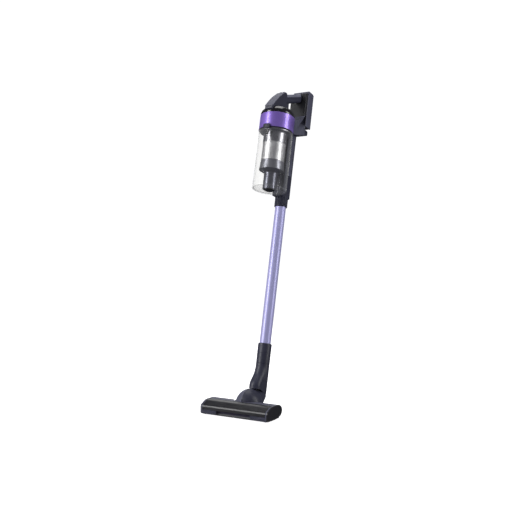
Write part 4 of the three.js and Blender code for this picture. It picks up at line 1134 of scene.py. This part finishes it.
# %% The wheels
def wheel(name, radius, width, x, y, node, groove):
    half_width = width / 2
    profile = rounded([(0, x - half_width), (radius, x - half_width, 1), (radius, x + half_width, 1), (0, x + half_width)], 4)
    tyre = cross_turned(profile, y, radius, 64)
    for at in groove:
        cut(tyre, cross_turned([(radius - 0.5, x + at - 0.3), (radius + 1, x + at - 0.3), (radius + 1, x + at + 0.3),
                                (radius - 0.5, x + at + 0.3)], y, radius, 64))
    for k in range(5):
        a = 2 * math.pi * k / 5
        spot = (y + 0.55 * radius * math.cos(a), radius + 0.55 * radius * math.sin(a))
        for end in (-1, 1):
            x0, x1 = sorted((x + end * (half_width + 1), x + end * (half_width - 1.2)))
            cut(tyre, cross_turned([(0, x0), (0.16 * radius, x0), (0.16 * radius, x1), (0, x1)], *spot, 16))
    piece(name, soften(tyre, 0.15, 1), node + "_" + name[-1], rubber, [name_of_node(name)], FLOOR)


def name_of_node(name):
    """rear_tyre_r stands for the CAD's rear_wheel_right, and so on."""
    kind = "rear_wheel" if name.startswith("rear") else "front_roller"
    return f"{kind}_{'right' if name.endswith('r') else 'left'}"


for letter, sign in (("r", 1), ("l", -1)):
    wheel(f"rear_tyre_{letter}", 9.0, 8.0, sign * 58.0, -82.0, "rear_wheel", (-1.5, 1.5))
    wheel(f"front_tyre_{letter}", 5.0, 6.0, sign * 112.8, -141.0, "front_roller", (0,))

# %% [markdown]
# ## The studio
# The floor runs up into a round white tent, so the ground stays pale from every side. The tent
# is kept out of reflections: dark glossy plastic then shows the lamps and the dim world behind
# them, which gives it long clean highlights instead of a milky veil.

# %% Floor, tent and lamps
ground = cad_box[0].z - 0.0005
sweep = [(0.001, 0.0), (4.5, 0.0)] + [(4.5 + 1.5 * math.sin(a), 1.5 - 1.5 * math.cos(a))
                                      for a in [math.pi / 2 * k / 10 for k in range(1, 11)]] + [(6.0, 7.0), (0.001, 9.0)]
count, segments = len(sweep), 96
points = [(r * math.cos(2 * math.pi * k / segments), r * math.sin(2 * math.pi * k / segments), ground + h)
          for k in range(segments) for r, h in sweep]
quads = [(k * count + i, k * count + i + 1, (k + 1) % segments * count + i + 1, (k + 1) % segments * count + i)
         for k in range(segments) for i in range(count - 1)]
tent_mesh = bpy.data.meshes.new("studio_tent")
tent_mesh.from_pydata(points, [], quads)
tent_mesh.shade_smooth()
tent = bpy.data.objects.new("studio_tent", tent_mesh)
bpy.context.scene.collection.objects.link(tent)
paper = Finish("pale paper", Roughness=0.9, Specular_IOR_Level=0.1, Emission_Color=(1, 1, 1, 1), Emission_Strength=0.9)
paper.colour(paper.noise(2, 3), (0.3, (0.86, 0.86, 0.87, 1)), (0.7, (0.9, 0.9, 0.9, 1)))
tent_mesh.materials.append(paper.material)
tent.visible_glossy = False
tent.visible_diffuse = False


def lamp(name, spot, target, width, height, watts):
    data = bpy.data.lights.new(name, "AREA")
    data.shape, data.size, data.size_y, data.energy = "RECTANGLE", width, height, watts
    made = bpy.data.objects.new(name, data)
    made.location = spot
    made.rotation_mode = "QUATERNION"
    made.rotation_quaternion = (Vector(spot) - Vector(target)).to_track_quat("Z", "Y")
    made.visible_camera = False
    bpy.context.scene.collection.objects.link(made)


camera_spot, camera_target = Vector((1.286, -2.258, -0.5515)), Vector((-0.010, -0.1986, -0.5573))
to_camera = (camera_spot - camera_target).normalized()
to_right = Vector((0, 0, 1)).cross(to_camera).normalized()
middle = Vector((0, -0.1, -0.5))
lamp("left_softbox", middle - 1.9 * to_right + 0.9 * to_camera + Vector((0, 0, 0.5)), middle, 0.7, 2.2, 42)
lamp("right_softbox", middle + 1.9 * to_right + 0.7 * to_camera + Vector((0, 0, 0.5)), middle, 0.6, 2.2, 24)
lamp("top_softbox", middle + Vector((0, 0, 2.4)) - 0.5 * to_camera, middle, 1.6, 1.6, 22)
lamp("rear_softbox", middle - 2.4 * to_camera + Vector((0, 0, 1.2)), middle, 2.0, 1.6, 16)

world = bpy.data.worlds.new("dim room")
world.use_nodes = True
world.node_tree.nodes["Background"].inputs["Color"].default_value = (0.11, 0.11, 0.125, 1)
bpy.context.scene.world = world
bpy.context.scene.view_settings.view_transform = "Standard"
print("four soft lamps and a white tent")

# %% [markdown]
# ## The camera
# The camera stands low, level with the middle of the wand, and a third of the way round to the
# right. A long lens keeps the stick straight and the floor head only slightly seen from above.

# %% The camera
camera_data = bpy.data.cameras.new("camera")
camera_data.lens, camera_data.sensor_width = 51.556, 36.0
camera = bpy.data.objects.new("camera", camera_data)
camera.location = camera_spot
camera.rotation_mode = "QUATERNION"
camera.rotation_quaternion = to_camera.to_track_quat("Z", "Y")
bpy.context.scene.collection.objects.link(camera)
bpy.context.scene.camera = camera
print("camera", round((camera_spot - camera_target).length, 2), "m from the wand")
